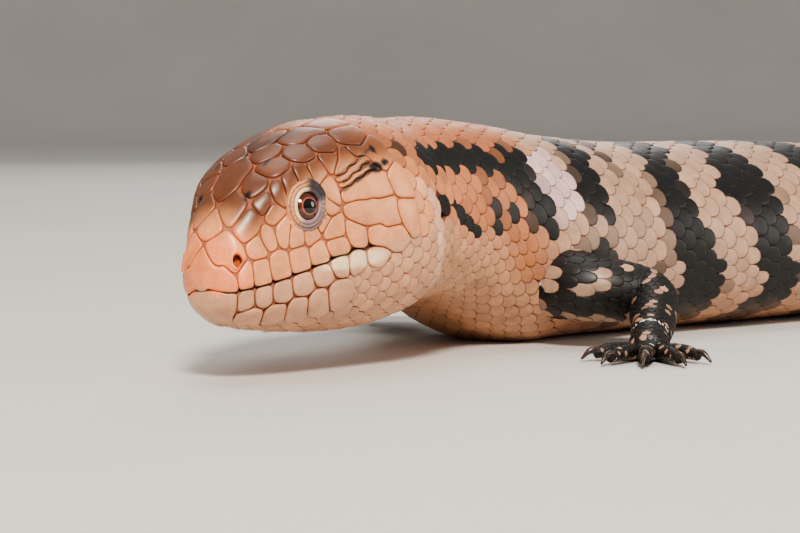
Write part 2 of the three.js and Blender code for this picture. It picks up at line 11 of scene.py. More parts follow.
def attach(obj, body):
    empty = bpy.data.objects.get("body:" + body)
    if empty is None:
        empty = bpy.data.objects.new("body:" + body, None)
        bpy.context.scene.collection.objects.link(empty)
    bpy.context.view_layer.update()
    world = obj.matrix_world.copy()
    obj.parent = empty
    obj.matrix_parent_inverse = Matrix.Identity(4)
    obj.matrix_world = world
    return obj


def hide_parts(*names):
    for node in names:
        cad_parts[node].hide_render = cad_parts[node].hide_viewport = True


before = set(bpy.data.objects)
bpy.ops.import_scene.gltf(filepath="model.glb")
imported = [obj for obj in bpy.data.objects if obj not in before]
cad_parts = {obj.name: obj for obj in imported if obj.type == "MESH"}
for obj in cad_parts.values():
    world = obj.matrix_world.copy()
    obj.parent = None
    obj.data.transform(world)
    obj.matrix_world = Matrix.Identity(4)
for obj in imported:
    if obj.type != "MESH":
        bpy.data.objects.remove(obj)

bl_info = {
    "name": "Blue tongued skink",
    "version": (1, 0, 0),
    "blender": (4, 5, 0),
    "location": "3D View > Sidebar > Skink",
    "description": "Dresses a resting blue tongued skink in its shields, scales, eyes and claws",
    "category": "Object",
}

MM = 0.001

# Body lines, in millimetres along the body from the snout tip, the same as the solid model's
LENGTH = 520.0
SNOUT_AT = (-253.6, -14.1)
HEADING = [(0, 12), (66, 12), (92, 10), (130, 3), (180, -6), (240, -5), (300, 4), (345, 13), (400, 24),
           (455, 18), (LENGTH, -10)]
LINE_HEIGHT = [(0, 18.4), (30, 23.1), (66, 28.9), (82, 30.2), (102, 28.6), (128, 25), (165, 22.4),
               (270, 22), (300, 20), (322, 17.2), (345, 14.2), (400, 10.9), (460, 6.9), (505, 3.6),
               (LENGTH, 2.4)]
ROLL = [(0, -4.5), (66, -4.5), (110, 0), (LENGTH, 0)]
HALF_WIDTH = [(0, 0.9), (0.5, 3), (2, 5.6), (5, 8), (10, 11), (16, 13.7), (22, 15.6), (30, 18.2),
              (40, 21.2), (48, 23), (55, 23.6), (62, 22.5), (70, 21.2), (82, 21.6), (96, 23.8),
              (112, 27.5), (130, 31), (165, 35), (205, 36.5), (245, 36), (280, 32.5), (300, 28.5),
              (322, 21.5), (345, 17.2), (400, 12.6), (460, 8), (505, 3.9), (515, 2.2), (LENGTH, 0)]
TOP = [(0, 3.7), (0.5, 6.6), (2, 9.5), (5, 13.2), (10, 18.4), (16, 23), (22, 26.2), (30, 28.7),
       (40, 30), (48, 30.2), (55, 29.8), (62, 28.6), (72, 27), (90, 26.4), (112, 26.8), (165, 27.4),
       (205, 27.5), (245, 26.5), (280, 24.5), (300, 22.5), (322, 19.2), (345, 16), (400, 11.7),
       (460, 7.3), (505, 3.5), (515, 1.9), (LENGTH, 0)]
UNDER = [(0, 1.9), (0.5, -1.2), (2, -4), (5, -6.3), (10, -8.9), (16, -10.9), (22, -12.6), (30, -14.7),
         (40, -17), (48, -18), (55, -18.1), (62, -17.2), (72, -17.4), (90, -20.4), (104, -25.4),
         (118, -27.4), (128, -25.6), (165, -23), (270, -22.6), (300, -20.6), (322, -17.7),
         (345, -14.6), (400, -11.2), (460, -7.1), (505, -3.7), (515, -2.2), (LENGTH, 0)]
CROWN_SQUARENESS = [(0, 2), (2, 2.2), (10, 2.6), (22, 2.9), (34, 2.8), (48, 2.5), (62, 2.2),
                    (110, 2.1), (LENGTH, 2)]
BELLY_SQUARENESS = 2.35
WIDEST_SHARE = 0.4
RELIEF = [(21, 47, 7, 11, 1.0), (12, 30, 6, 12, -0.9), (24, 12, 6, 9, -0.8), (46, 8, 10, 20, 0.8),
          (34, 34, 7, 9, -0.5), (4, 8, 3, 12, 0.5), (116, 0, 12, 24, 1.5), (302, 0, 12, 24, 1.5)]
HEAD_END = 67.0
COAT_DEPTH = 0.5
LIMB_COAT_DEPTH = 0.7 * COAT_DEPTH
TAIL_START = 330.0

# Head features: back from the snout, height over the line of the mouth
MOUTH_CORNER = 47.0
MOUTH_LINE = [(0, 0.5), (9, 0.5), (13, 0.95), (17.5, 1.4), (22.5, 1.95), (28, 2.75), (33, 3.0),
              (47, 3.0)]
SNOUT_FACE = 0.3
EYE_BACK, EYE_UP, EYE_RADIUS, EYE_STAND = 21.3, 14.8, 4.7, 1.7
NOSTRIL = (4.5, 27)
EAR_BACK, EAR_UP = 61.0, 5.5

MIDDLE_SHIELDS = {
    "rostral": [(1.15, 90), (1.9, 8), (1.9, 172)], "frontonasal": [(5.4, 90)],
    "frontal": [(13.6, 90), (18.2, 90)], "interparietal": [(27.5, 90), (32, 90)],
    "nuchal": [(40.5, 90)],
}
SIDE_SHIELDS = {
    "nasal": [(4.0, 27), (2.6, 62)], "prefrontal": [(9.4, 68)], "loreal_front": [(8.9, 26)],
    "loreal_back": [(9.1, 42)], "preocular": [(14.1, 37)], "subocular_1": [(11.6, 26.5)],
    "subocular_2": [(14.6, 23.5)], "subocular_3": [(17.1, 17)], "subocular_4": [(21.3, 15)],
    "postocular_1": [(27.8, 31.5)], "postocular_2": [(25.8, 25)], "postocular_3": [(24.6, 20)],
    "supraciliary_1": [(13.6, 46.5)], "supraciliary_2": [(16.4, 44)], "supraciliary_3": [(19.4, 42.5)],
    "supraciliary_4": [(23.1, 41)], "supraciliary_5": [(26.8, 40.5)], "supraocular_1": [(14.6, 59)],
    "supraocular_2": [(19.6, 58)], "supraocular_3": [(26.6, 55)], "supraocular_4": [(33.2, 54)],
    "frontoparietal": [(23.4, 76)], "parietal": [(31.5, 70), (35.5, 72)], "nuchal_side": [(42, 74)],
    "temporal_low_1": [(26.6, 12)], "temporal_low_2": [(32.3, 10)],
    "temporal_low_3": [(37, 8), (41, 5.5)],
    "temporal_middle": [(33.3, 20.8), (37, 19.5), (41, 18.5), (33.3, 15.8), (37, 13), (41, 11)],
    "temporal_upper": [(33.3, 28.6), (37, 30.5), (40.5, 32.1), (33.3, 25), (37, 24.5), (41, 23.5)],
    "temporal_back_1": [(47.2, 24)], "temporal_back_2": [(46.4, 13)],
    "narrow_1": [(33.3, 34.05), (37, 36.5), (40.5, 39.1)],
    "narrow_2": [(33.3, 31.4), (37, 33.5), (40.5, 35.5)], "ridge_1": [(37, 40.7), (33.3, 37.95)],
    "ridge_2": [(32, 43)], "ridge_3": [(41.5, 52)], "ridge_4": [(40.5, 43.5), (44, 41)],
}
LIP_SHIELDS = [(4.6, 9.5), (8.1, 6), (11.8, 5.5), (16.8, 5), (22, 3.8), (26.6, 5.2)]
LOWER_LIP_BACK = [(31.2, -7.5), (36, -6.5)]
CHIN_SHIELDS = [(6.8, -52), (11.5, -44), (16.5, -39), (21.5, -34), (26.5, -29)]
EYE_CELL = (21.3, 29)
# Plain scales bound the shields: first row, spacing, and where chin shields and lower lip shields end
PLAIN_START, THROAT_SPACING = 8.5, 6.4
CHIN_END, LOWER_LIP_END = 30, 38

# Legs: joints as (length along the body, distance out, height, radius)
LEGS = {
    "front_left": SimpleNamespace(side=1, at=113, toes=-30, line=[
        (115, 14, 17, 10.5), (112, 31, 15, 8.6), (122, 44, 12.5, 7), (112, 51, 7.6, 5.6),
        (102, 55, 4.6, 4.8)]),
    "front_right": SimpleNamespace(side=-1, at=113, toes=-22, line=[
        (115, 14, 17, 10.5), (117, 31, 15, 8.6), (131, 42, 12.5, 7), (124, 52, 7.6, 5.6),
        (115, 57, 4.6, 4.8)]),
    "hind_left": SimpleNamespace(side=1, at=301, toes=-72, line=[
        (303, 10, 16, 12), (294, 29, 15.5, 10), (284, 42, 13, 8.2), (290, 52, 8.6, 6.2),
        (296, 58, 5.4, 5.2)]),
    "hind_right": SimpleNamespace(side=-1, at=301, toes=-84, line=[
        (303, 10, 16, 12), (302, 30, 15.5, 10), (297, 43, 13, 8.2), (305, 52, 8.6, 6.2),
        (312, 57, 5.4, 5.2)]),
}
TOE_SPREAD = (-54, -26, 2, 30, 62)
TOE_LENGTH = (7.5, 10, 11, 10, 7)
TOE_RADIUS = 1.9
CLAW_LENGTH = 3.4
PALM_LENGTH = 8.0
GAP = 0.3

# Scale rows: start and end along the body, number of scales round it
ROW_ZONES = [(7, 30, 24), (30, 58, 34), (58, 68, 34), (68, 336, 34), (336, 372, 28), (372, 404, 24),
             (404, 432, 20), (432, 460, 16), (460, 486, 12), (486, 505, 9), (505, 517, 7)]
ROW_PITCH, SCALE_LENGTH, SCALE_WIDTH = 0.72, 1.26, 1.03
COAT_PIECES = [("head_scales", "head_scales", 0, 68), ("neck_scales", "neck_scales", 68, 112),
               ("trunk_scales_front", "body_scales", 112, 215),
               ("trunk_scales_rear", "body_scales", 215, 336),
               ("tail_scales", "tail_scales", 336, 520)]
# Limbs: steps and columns of the bed, scales round it, and how much paler they are beneath
LIMB_SCALES = {"leg": (40, 37, 16, 1.0), "palm": (16, 33, 13, 0.6), "toe": (14, 25, 7, 0.4)}
BED_START = 3.0
UNDER_SHIELDS = 1.9
EAR_HALF = (2.1, 3.6)

# Rings of a shield: distance in from the groove, height and nearness to the flat middle
SHIELD_GAP, SHIELD_DEPTH, SHIELD_HEIGHT = 0.05, 0.22, 0.33
SHIELD_RINGS = [(0, -0.75, 0), (0, -0.1, 0), (0.09, 0.1, 0.25), (0.26, 0.25, 0.75),
                (0.52, SHIELD_HEIGHT, 1)]
SHIELD_SHARES = (0.84, 0.68, 0.52, 0.36, 0.18)
SHIELD_CROWNING = 0.09
OUTLINE_SPACING = 0.5
# Rings of a nostril: radius, height and nearness to the flat middle, below 0 for the inside, painted dark as
# shade
NOSTRIL_RINGS = [(2.7, 0.42, 1), (2.3, 0.62, 1), (1.95, 0.85, 1), (1.65, 0.75, 0.9), (1.42, 0.2, 0.2),
                 (1.25, -0.6, -1), (1.0, -1.5, -1)]
LID_REACH, LID_CORNER, LID_CORNER_REACH = 4.9, 42, 0.5
SKIN_COLUMNS = 264

# Colours of small features, as linear red, green and blue
# Painted shade along the line of the closed mouth
MOUTH_SHADE = (0.05, 0.013, 0.009)
# Painted shade inside the nostril
NOSTRIL_SHADE = (0.10, 0.03, 0.02)
# Painted shade in the ear opening
EAR_SHADE = (0.05, 0.025, 0.02)
LID_DARK = (0.02, 0.016, 0.018)
LID_GREY, LID_CREAM = (0.36, 0.22, 0.24), (0.90, 0.60, 0.36)
OUTER_LID_GREY = (0.30, 0.19, 0.18)
# Painted highlight on the lower lip
LIP_HIGHLIGHT = (0.98, 0.78, 0.48)
# Painted highlight along the front edge of the neck's fold
FOLD_HIGHLIGHT = (0.95, 0.56, 0.40)
LILAC_GREY = (0.66, 0.46, 0.46)

# Horny finishes: colour of the rims, which darkens them as painted shade in the grooves, gloss coat, height
# of the grain and roughness
HORN = {
    "head_horn": ((0.62, 0.42, 0.33), 0.35, 0.00006, 0.34),
    "coat_horn": ((0.42, 0.24, 0.17), 0.08, 0.00005, 0.4),
    "lid_skin": ((0.8, 0.7, 0.65), 0.3, 0.00008, 0.4),
}

# The unwrap for baking: middle and radius of the head's disc, the strip behind it and where it begins
BAKE_DISC, BAKE_STRIP, BAKE_SPLIT = ((0.25, 0.75), 0.24), (0.003, 0.005, 0.99, 0.45), 70
BAKE_PATCH = 0.003
FLOOR_GAP = 0.00002

# Soft lights, in metres: name, place, what it shines at, size, power and colour
HEAD_AT = (-0.235, -0.01, 0.03)
LIGHTS = [
    ("key", (-0.95, -0.85, 1.1), HEAD_AT, 0.35, 30, (1.0, 0.92, 0.83)),
    ("fill", (1.1, -1.35, 0.6), HEAD_AT, 0.9, 9, (1.0, 0.93, 0.86)),
    ("top", (0.1, 0.3, 1.6), (0, 0, 0), 1.2, 8, (1.0, 0.97, 0.93)),
    ("back", (1.1, 1.1, 0.9), (0, 0, 0), 0.8, 5, (1.0, 0.98, 0.96)),
]
WORLD_COLOUR, WORLD_STRENGTH = (1.0, 0.96, 0.91, 1), 0.38
FLOOR_FLAT, FLOOR_BEND, WALL_TOP = 3.6, 0.9, 1.3

# Where the camera stands, in the head's own axes: turned and raised round the snout, then shifted
CAMERA_TURN, CAMERA_RISE, CAMERA_ROLL = 34.2, 9.0, -8.8
CAMERA_SHIFT = (-41.5, -6.7, -469.7)
CAMERA_LENS, CAMERA_SENSOR = 100.0, 36.0
CAMERA_CLIP = (0.02, 30.0)
HEAD_SLOPE = 0.1587


class SkinkColours(bpy.types.PropertyGroup):
    """Colours of the skink's hide and horn."""
    crown: FloatVectorProperty(
        name="Crown", description="Shields on top of the head",
        subtype="COLOR", size=3, min=0, max=1, default=(0.15, 0.045, 0.014))
    cheek: FloatVectorProperty(
        name="Cheek", description="Shields on the side of the head",
        subtype="COLOR", size=3, min=0, max=1, default=(0.78, 0.33, 0.145))
    snout: FloatVectorProperty(
        name="Snout", description="Tip of the snout",
        subtype="COLOR", size=3, min=0, max=1, default=(1.0, 0.32, 0.13))
    jaw: FloatVectorProperty(
        name="Jaw", description="Lower lip and throat",
        subtype="COLOR", size=3, min=0, max=1, default=(0.66, 0.35, 0.205))
    nape: FloatVectorProperty(
        name="Nape", description="Neck behind the head",
        subtype="COLOR", size=3, min=0, max=1, default=(0.46, 0.165, 0.066))
    pale_band: FloatVectorProperty(
        name="Pale band", description="Pale bands of the back",
        subtype="COLOR", size=3, min=0, max=1, default=(0.46, 0.29, 0.20))
    black: FloatVectorProperty(
        name="Black", description="Dark bands and blotches",
        subtype="COLOR", size=3, min=0, max=1, default=(0.002, 0.0016, 0.0013))
    groove: FloatVectorProperty(
        name="Groove", description="Skin between the scales",
        subtype="COLOR", size=3, min=0, max=1, default=(0.27, 0.085, 0.04))


class SkinkSizes(bpy.types.PropertyGroup):
    """Sizes of the skink's scales and shields."""
    scale_thickness: FloatProperty(
        name="Scale thickness", description="Step from one scale down to the next",
        unit="LENGTH", default=0.00024)
    shield_rise: FloatProperty(
        name="Shield rise", description="Length that stands for 1 in the heights of a shield's rings",
        unit="LENGTH", default=0.001)
    seed: IntProperty(name="Seed", description="Seed of the random tints", default=7)


def profile(rows):
    """A smooth line through rows of (length, value), with no overshoot between them."""
    xs, ys = np.array(rows, float).T
    span = np.diff(xs)
    slope = np.diff(ys) / span
    tangent = np.zeros(len(xs))
    tangent[0], tangent[-1] = slope[0], slope[-1]
    for i in range(1, len(xs) - 1):
        before, after = slope[i - 1], slope[i]
        if before * after > 0:
            tangent[i] = 3 * (span[i - 1] + span[i]) / (
                (2 * span[i] + span[i - 1]) / before + (span[i] + 2 * span[i - 1]) / after)

    def value(length):
        x = np.clip(length, xs[0], xs[-1])
        i = np.clip(np.searchsorted(xs, x, side="right") - 1, 0, len(xs) - 2)
        t = (x - xs[i]) / span[i]
        return ((1 + 2 * t) * (1 - t) ** 2 * ys[i] + t * (1 - t) ** 2 * span[i] * tangent[i]
                + t * t * (3 - 2 * t) * ys[i + 1] + t * t * (t - 1) * span[i] * tangent[i + 1])
    return value


heading, line_height, roll = profile(HEADING), profile(LINE_HEIGHT), profile(ROLL)
half_width, top, under = profile(HALF_WIDTH), profile(TOP), profile(UNDER)
crown_squareness = profile(CROWN_SQUARENESS)


def walk_plan():
    """The line of the body on the floor plan, one point a millimetre."""
    turn = np.radians(heading(np.arange(LENGTH) + 0.5))
    steps = np.stack([np.cos(turn), np.sin(turn)], 1)
    return np.vstack([[SNOUT_AT], np.array(SNOUT_AT) + np.cumsum(steps, 0)])


PLAN = walk_plan()


def unit(v):
    """Directions of length 1."""
    return v / np.maximum(np.linalg.norm(v, axis=-1, keepdims=True), 1e-12)


def turned(v, axis, angle):
    """Directions turned round an axis by an angle."""
    c, s = np.cos(angle)[..., None], np.sin(angle)[..., None]
    return v * c + np.cross(axis, v) * s + axis * (axis * v).sum(-1, keepdims=True) * (1 - c)


def frame_at(length):
    """The body's own axes at a length: where, back along it, to its left and up."""
    s = np.clip(np.asarray(length, float), 0, LENGTH)
    i = np.minimum(np.floor(s).astype(int), int(LENGTH) - 1)
    spot = PLAN[i] + (PLAN[i + 1] - PLAN[i]) * (s - i)[..., None]
    turn = np.radians(heading(s))
    ahead, behind = np.minimum(s + 1, LENGTH), np.maximum(s - 1, 0)
    rise = (line_height(ahead) - line_height(behind)) / (ahead - behind)
    back = unit(np.stack([np.cos(turn), np.sin(turn), rise], -1))
    left = np.stack([np.sin(turn), -np.cos(turn), 0 * turn], -1)
    up = np.cross(left, back)
    tilt = np.radians(roll(s))
    origin = np.concatenate([spot, line_height(s)[..., None]], -1)
    return origin, back, turned(left, back, tilt), turned(up, back, tilt)


def middle_height(s):
    """Height of the widest level over the body's line."""
    return under(s) + (top(s) - under(s)) * WIDEST_SHARE


def folded_angle(degrees):
    """An angle round the body, with the right side folded over on the left."""
    d = np.mod(degrees, 360.0)
    return np.where((d > 90) & (d <= 270), 180 - d, np.where(d > 270, d - 360, d))


def relief_at(length, degrees):
    """How far the bumps and hollows stand out."""
    folded = folded_angle(degrees)
    return sum(height * np.exp(-((length - at) / along) ** 2 - ((folded - angle) / around) ** 2)
               for at, angle, along, around, height in RELIEF)


def skin_point(length, degrees, outside=0.0):
    """A point on the hide: length along the body, angle round it and how far outside it lies."""
    s, degrees = np.broadcast_arrays(np.asarray(length, float), np.asarray(degrees, float))
    c, sn = np.cos(np.radians(degrees)), np.sin(np.radians(degrees))
    squareness = np.where(sn > 0, crown_squareness(s), BELLY_SQUARENESS)
    reach = (np.abs(c) ** squareness + np.abs(sn) ** squareness) ** (-1 / squareness)
    middle = middle_height(s)
    height = np.where(sn > 0, top(s) - middle, middle - under(s))
    extra = outside + relief_at(s, degrees) * np.minimum(1, half_width(s) / 6)
    origin, _, left, up = frame_at(s)
    point = (origin + left * (c * (half_width(s) * reach + extra))[..., None]
             + up * (middle + sn * (height * reach + extra))[..., None])
    point[..., 2] = np.maximum(point[..., 2], np.maximum(-np.asarray(outside), 0.0))
    return point


def skin_out(length, degrees):
    """The outward direction of the hide."""
    s, degrees = np.broadcast_arrays(np.asarray(length, float), np.asarray(degrees, float))
    ahead = skin_point(np.minimum(s + 0.3, LENGTH - 0.3), degrees)
    behind = skin_point(np.maximum(s - 0.3, 0.02), degrees)
    around = skin_point(s, degrees + 1.5) - skin_point(s, degrees - 1.5)
    out = np.cross(ahead - behind, around)
    origin, _, _, up = frame_at(s)
    core = origin + up * middle_height(s)[..., None]
    sign = np.sign((out * (skin_point(s, degrees) - core)).sum(-1, keepdims=True))
    return unit(out * np.where(sign == 0, 1, sign))


def girth(length):
    """About how far it is round the body."""
    return np.pi * (half_width(length) + (top(length) - under(length)) / 2)


def angle_at_height(length, up):
    """The angle round the head at which the hide has a given height over the line of the mouth."""
    low, high = -80.0, 80.0
    middle = middle_height(length)
    for _ in range(30):
        half = (low + high) / 2
        s, c = math.sin(math.radians(half)), math.cos(math.radians(half))
        n = crown_squareness(length) if s > 0 else BELLY_SQUARENESS
        reach = (abs(c) ** n + abs(s) ** n) ** (-1 / n)
        height = top(length) - middle if s > 0 else middle - under(length)
        if middle + s * height * reach < up:
            low = half
        else:
            high = half
    return low


mouth_height = profile(MOUTH_LINE)


def mouth_angle(length):
    """The angle round the head at which the mouth closes."""
    return angle_at_height(length, float(mouth_height(length)))


def spread(length):
    """How far from the snout tip a length lies on the flat skin."""
    s = np.maximum(length, 1e-4)
    return s ** 0.6 * np.exp(s / 34)


SPREAD_LENGTHS = np.concatenate([[0], np.geomspace(1e-4, 90, 6000)])
SPREAD_FAR = np.concatenate([[0], spread(SPREAD_LENGTHS[1:])])


def spread_back(far):
    """The length that lies at a distance on the flat skin."""
    return np.interp(far, SPREAD_FAR, SPREAD_LENGTHS)


def flat(length, degrees):
    """The head's skin laid flat round the snout tip."""
    far = spread(np.asarray(length, float))
    return np.stack([far * np.cos(np.radians(degrees)), far * np.sin(np.radians(degrees))], -1)


def unflat(point):
    """Length and angle of a place on the flat skin."""
    length = spread_back(np.hypot(point[..., 0], point[..., 1]))
    return length, np.mod(np.degrees(np.arctan2(point[..., 1], point[..., 0])), 360)


def eye_seat(side):
    """The middle of an eyeball and the way it looks out."""
    angle = angle_at_height(EYE_BACK, EYE_UP)
    degrees = angle if side > 0 else 180 - angle
    surface = skin_point(EYE_BACK, degrees)
    out = np.cross(skin_point(EYE_BACK + 3, degrees) - skin_point(EYE_BACK - 3, degrees),
                   skin_point(EYE_BACK, degrees + 8) - skin_point(EYE_BACK, degrees - 8))
    out = unit(out)
    origin, _, _, up = frame_at(EYE_BACK)
    if out @ (surface - (origin + up * EYE_UP)) < 0:
        out = -out
    return surface + out * (EYE_STAND - EYE_RADIUS), out


def plain_top(length, step):
    """The angle up to which plain scales grow: below chin shields, then lower lip, then mouth."""
    lips = mouth_angle(min(length, MOUTH_CORNER))
    if length < CHIN_END:
        return 2 * lips - 27 - 0.9 * step
    if length < LOWER_LIP_END:
        return 2 * lips - 5 - 0.9 * step
    return lips - 0.8 * step if length < MOUTH_CORNER else 90


def scale_centres():
    """Centres of the head shields, and of the plain scales that bound them, on the flat skin."""
    found = []

    def add(name, spots, kind="shield"):
        found.extend((name, kind, flat(*spot)) for spot in spots)

    def add_both(name, spots, kind="shield"):
        add(name + "_left", spots, kind)
        add(name + "_right", [(s, 180 - d) for s, d in spots], kind)

    for name, spots in MIDDLE_SHIELDS.items():
        add(name, spots)
    for name, spots in SIDE_SHIELDS.items():
        add_both(name, spots)
    for i, (s, d) in enumerate(LIP_SHIELDS):
        add_both(f"upper_lip_{i}", [(s, d)])
        add_both(f"lower_lip_{i}", [(s, 2 * mouth_angle(s) - d)])
    for name, spots in (("lower_lip_back", LOWER_LIP_BACK), ("chin", CHIN_SHIELDS)):
        for i, spot in enumerate(spots):
            add_both(f"{name}_{i}", [spot])
    rostral, beside = MIDDLE_SHIELDS["rostral"][:2]
    chin = float(spread_back(spread(rostral[0]) + 2 * spread(SNOUT_FACE)))
    below = 2 * mouth_angle(beside[0]) - beside[1]
    add("mental", [(chin, -90), (beside[0], below), (beside[0], 180 - below)])
    add_both("eye", [EYE_CELL], "eye")
    row, length = 0, PLAIN_START
    while length < HEAD_END - 1:
        step = 360 * THROAT_SPACING / girth(length)
        highest = plain_top(length, step)
        degrees = -90 + (row % 2) * 0.5 * step
        while degrees < highest:
            for spot in {(length, degrees), (length, -90 if degrees == -90 else 180 - degrees)}:
                at = flat(*spot)
                room = 3.1 * np.hypot(*at) / 26
                if all(np.hypot(*(other[2] - at)) > room for other in found):
                    add(f"plain_{len(found)}", [spot], "plain")
            degrees += step
        row += 1
        length += THROAT_SPACING
    return found


def nearer(outline, centre, other):
    """The part of a flat outline that lies nearer to one centre than to another."""
    across = other - centre
    side = outline @ across - (other @ other - centre @ centre) / 2
    kept = []
    for i, point in enumerate(outline):
        j = (i + 1) % len(outline)
        if side[i] <= 0:
            kept.append(point)
        if (side[i] < 0) != (side[j] < 0) and side[i] != side[j]:
            kept.append(point + (outline[j] - point) * side[i] / (side[i] - side[j]))
    return np.array(kept).reshape(-1, 2)


def same_spot(a, b):
    """Whether two places on the flat skin are one."""
    return np.hypot(*(a - b)) < 2e-5


def joined_outlines(outlines):
    """The outlines round a group of cells, with the edges between them left out."""
    edges = [(o[i], o[(i + 1) % len(o)]) for o in outlines for i in range(len(o))]
    edges = [e for e in edges if not same_spot(*e)]
    edges = [e for e in edges
             if not any(same_spot(e[0], f[1]) and same_spot(e[1], f[0]) for f in edges)]
    while edges:
        chain = [edges.pop(0)]
        while True:
            follow = [k for k, e in enumerate(edges) if same_spot(e[0], chain[-1][1])]
            if not follow:
                break
            chain.append(edges.pop(follow[0]))
        yield np.array([e[0] for e in chain])


def shield_outlines(centres):
    """The outline of every head shield on the flat skin, the parts of a long one joined."""
    turn = np.linspace(0, 2 * np.pi, 89)[:-1]
    rim = float(spread(HEAD_END)) * np.stack([np.cos(turn), np.sin(turn)], 1)
    spots = np.array([at for _, _, at in centres])
    parts = {}
    for name, kind, at in centres:
        if kind != "shield":
            continue
        outline = rim
        for j in np.argsort(((spots - at) ** 2).sum(1))[1:]:
            outline = nearer(outline, at, spots[j])
        parts.setdefault(name, []).append(outline)
    return [(name, outline) for name, outlines in parts.items() for outline in joined_outlines(outlines)]


def put_in_scene(name, data):
    """A new object in the scene."""
    made = bpy.data.objects.new(name, data)
    bpy.context.scene.collection.objects.link(made)
    return made


def new_object(name, vertices, faces, measure=MM):
    """A smooth mesh object from points, in millimetres unless another measure is given."""
    mesh = bpy.data.meshes.new(name)
    mesh.from_pydata((np.asarray(vertices) * measure).tolist(), [], [list(map(int, f)) for f in faces])
    mesh.validate()
    mesh.update()
    mesh.polygons.foreach_set("use_smooth", [True] * len(mesh.polygons))
    return put_in_scene(name, mesh)


def plain_mesh(carrier):
    """What an object's modifiers make of it, as a mesh of its own; the modifiers go."""
    graph = bpy.context.evaluated_depsgraph_get()
    mesh = bpy.data.meshes.new_from_object(carrier.evaluated_get(graph), depsgraph=graph)
    carrier.modifiers.clear()
    return mesh


def attribute(mesh, name, kind, values):
    """Gives every vertex a value."""
    field = {"FLOAT": "value", "FLOAT_VECTOR": "vector", "FLOAT_COLOR": "color"}[kind]
    made = mesh.attributes.new(name, kind, "POINT")
    made.data.foreach_set(field, np.asarray(values, float).ravel())


def paint(mesh, tint):
    """Gives every vertex a colour."""
    attribute(mesh, "tint", "FLOAT_COLOR", np.column_stack([tint, np.ones(len(tint))]))


def unwrap(mesh, name, places):
    """Gives every vertex its place on a UV map."""
    corners = np.zeros(len(mesh.loops), int)
    mesh.loops.foreach_get("vertex_index", corners)
    layer = mesh.uv_layers.get(name) or mesh.uv_layers.new(name=name)
    layer.data.foreach_set("uv", np.asarray(places)[corners].ravel())


def grid_faces(rows, columns, closed=True, offset=0):
    """The four-sided faces between rows of points, each row closed to a ring or open."""
    faces = []
    for i in range(rows - 1):
        for j in range(columns if closed else columns - 1):
            k = (j + 1) % columns
            faces.append((offset + i * columns + j, offset + (i + 1) * columns + j,
                          offset + (i + 1) * columns + k, offset + i * columns + k))
    return faces


def tube_faces(rows, columns, offset=0):
    """The faces of a tube and of its two ends."""
    last = offset + (rows - 1) * columns
    ends = [tuple(range(offset, offset + columns)), tuple(range(last + columns - 1, last - 1, -1))]
    return grid_faces(rows, columns, offset=offset) + ends


def closed_tube(name, rings):
    """A closed tube through rings of points, faces outwards."""
    rings = np.asarray(rings)
    made = new_object(name, rings.reshape(-1, 3), tube_faces(*rings.shape[:2]))
    face_out(made.data)
    return made


def face_out(mesh):
    """Turns every face of a closed mesh outwards."""
    work = bmesh.new()
    work.from_mesh(mesh)
    bmesh.ops.recalc_face_normals(work, faces=work.faces)
    if work.calc_volume(signed=True) < 0:
        bmesh.ops.reverse_faces(work, faces=work.faces)
    work.to_mesh(mesh)
    work.free()


def curve_points(points, radii, steps):
    """A smooth line through joints with a radius at each, as points, directions and radii."""
    points, radii = np.asarray(points, float), np.asarray(radii, float)
    chord = np.concatenate([[0], np.cumsum(np.linalg.norm(np.diff(points, axis=0), axis=1) ** 0.5)])
    tangents = np.gradient(points, chord, axis=0, edge_order=1)
    tangents[0] = (points[1] - points[0]) / (chord[1] - chord[0])
    tangents[-1] = (points[-1] - points[-2]) / (chord[-1] - chord[-2])
    at = np.linspace(0, chord[-1], steps)
    i = np.clip(np.searchsorted(chord, at, side="right") - 1, 0, len(points) - 2)
    h = (chord[i + 1] - chord[i])[:, None]
    t = ((at - chord[i]) / (chord[i + 1] - chord[i]))[:, None]
    spots = ((1 + 2 * t) * (1 - t) ** 2 * points[i] + t * (1 - t) ** 2 * h * tangents[i]
             + t * t * (3 - 2 * t) * points[i + 1] + t * t * (t - 1) * h * tangents[i + 1])
    size = np.interp(at, chord, radii)
    return spots, unit(np.gradient(spots, axis=0)), size


def tube_rings(points, radii, steps, columns, outside=0.0):
    """Rings of a limb, square to its line; the floor flattens its underside."""
    spots, along, size = curve_points(points, radii, steps)
    side = unit(np.cross([0.0, 0.0, 1.0], along))
    over = np.cross(along, side)
    turn = np.linspace(0, 2 * np.pi, columns + 1)[:-1]
    size = (size + outside)[:, None, None]
    rings = (spots[:, None] + side[:, None] * np.cos(turn)[None, :, None] * size
             + over[:, None] * np.sin(turn)[None, :, None] * size)
    rings[..., 2] = np.maximum(rings[..., 2], max(-outside, 0.0))
    return rings


def level(point, height):
    """A point moved straight up or down to a height."""
    return np.array([point[0], point[1], height])


def leg_joints(leg):
    """The joints of a leg's middle line, from the body to the wrist."""
    joints = []
    for length, out, height, _ in leg.line:
        origin, _, left, _ = frame_at(float(length))
        joints.append(level(origin + left * leg.side * out, height))
    return np.array(joints)


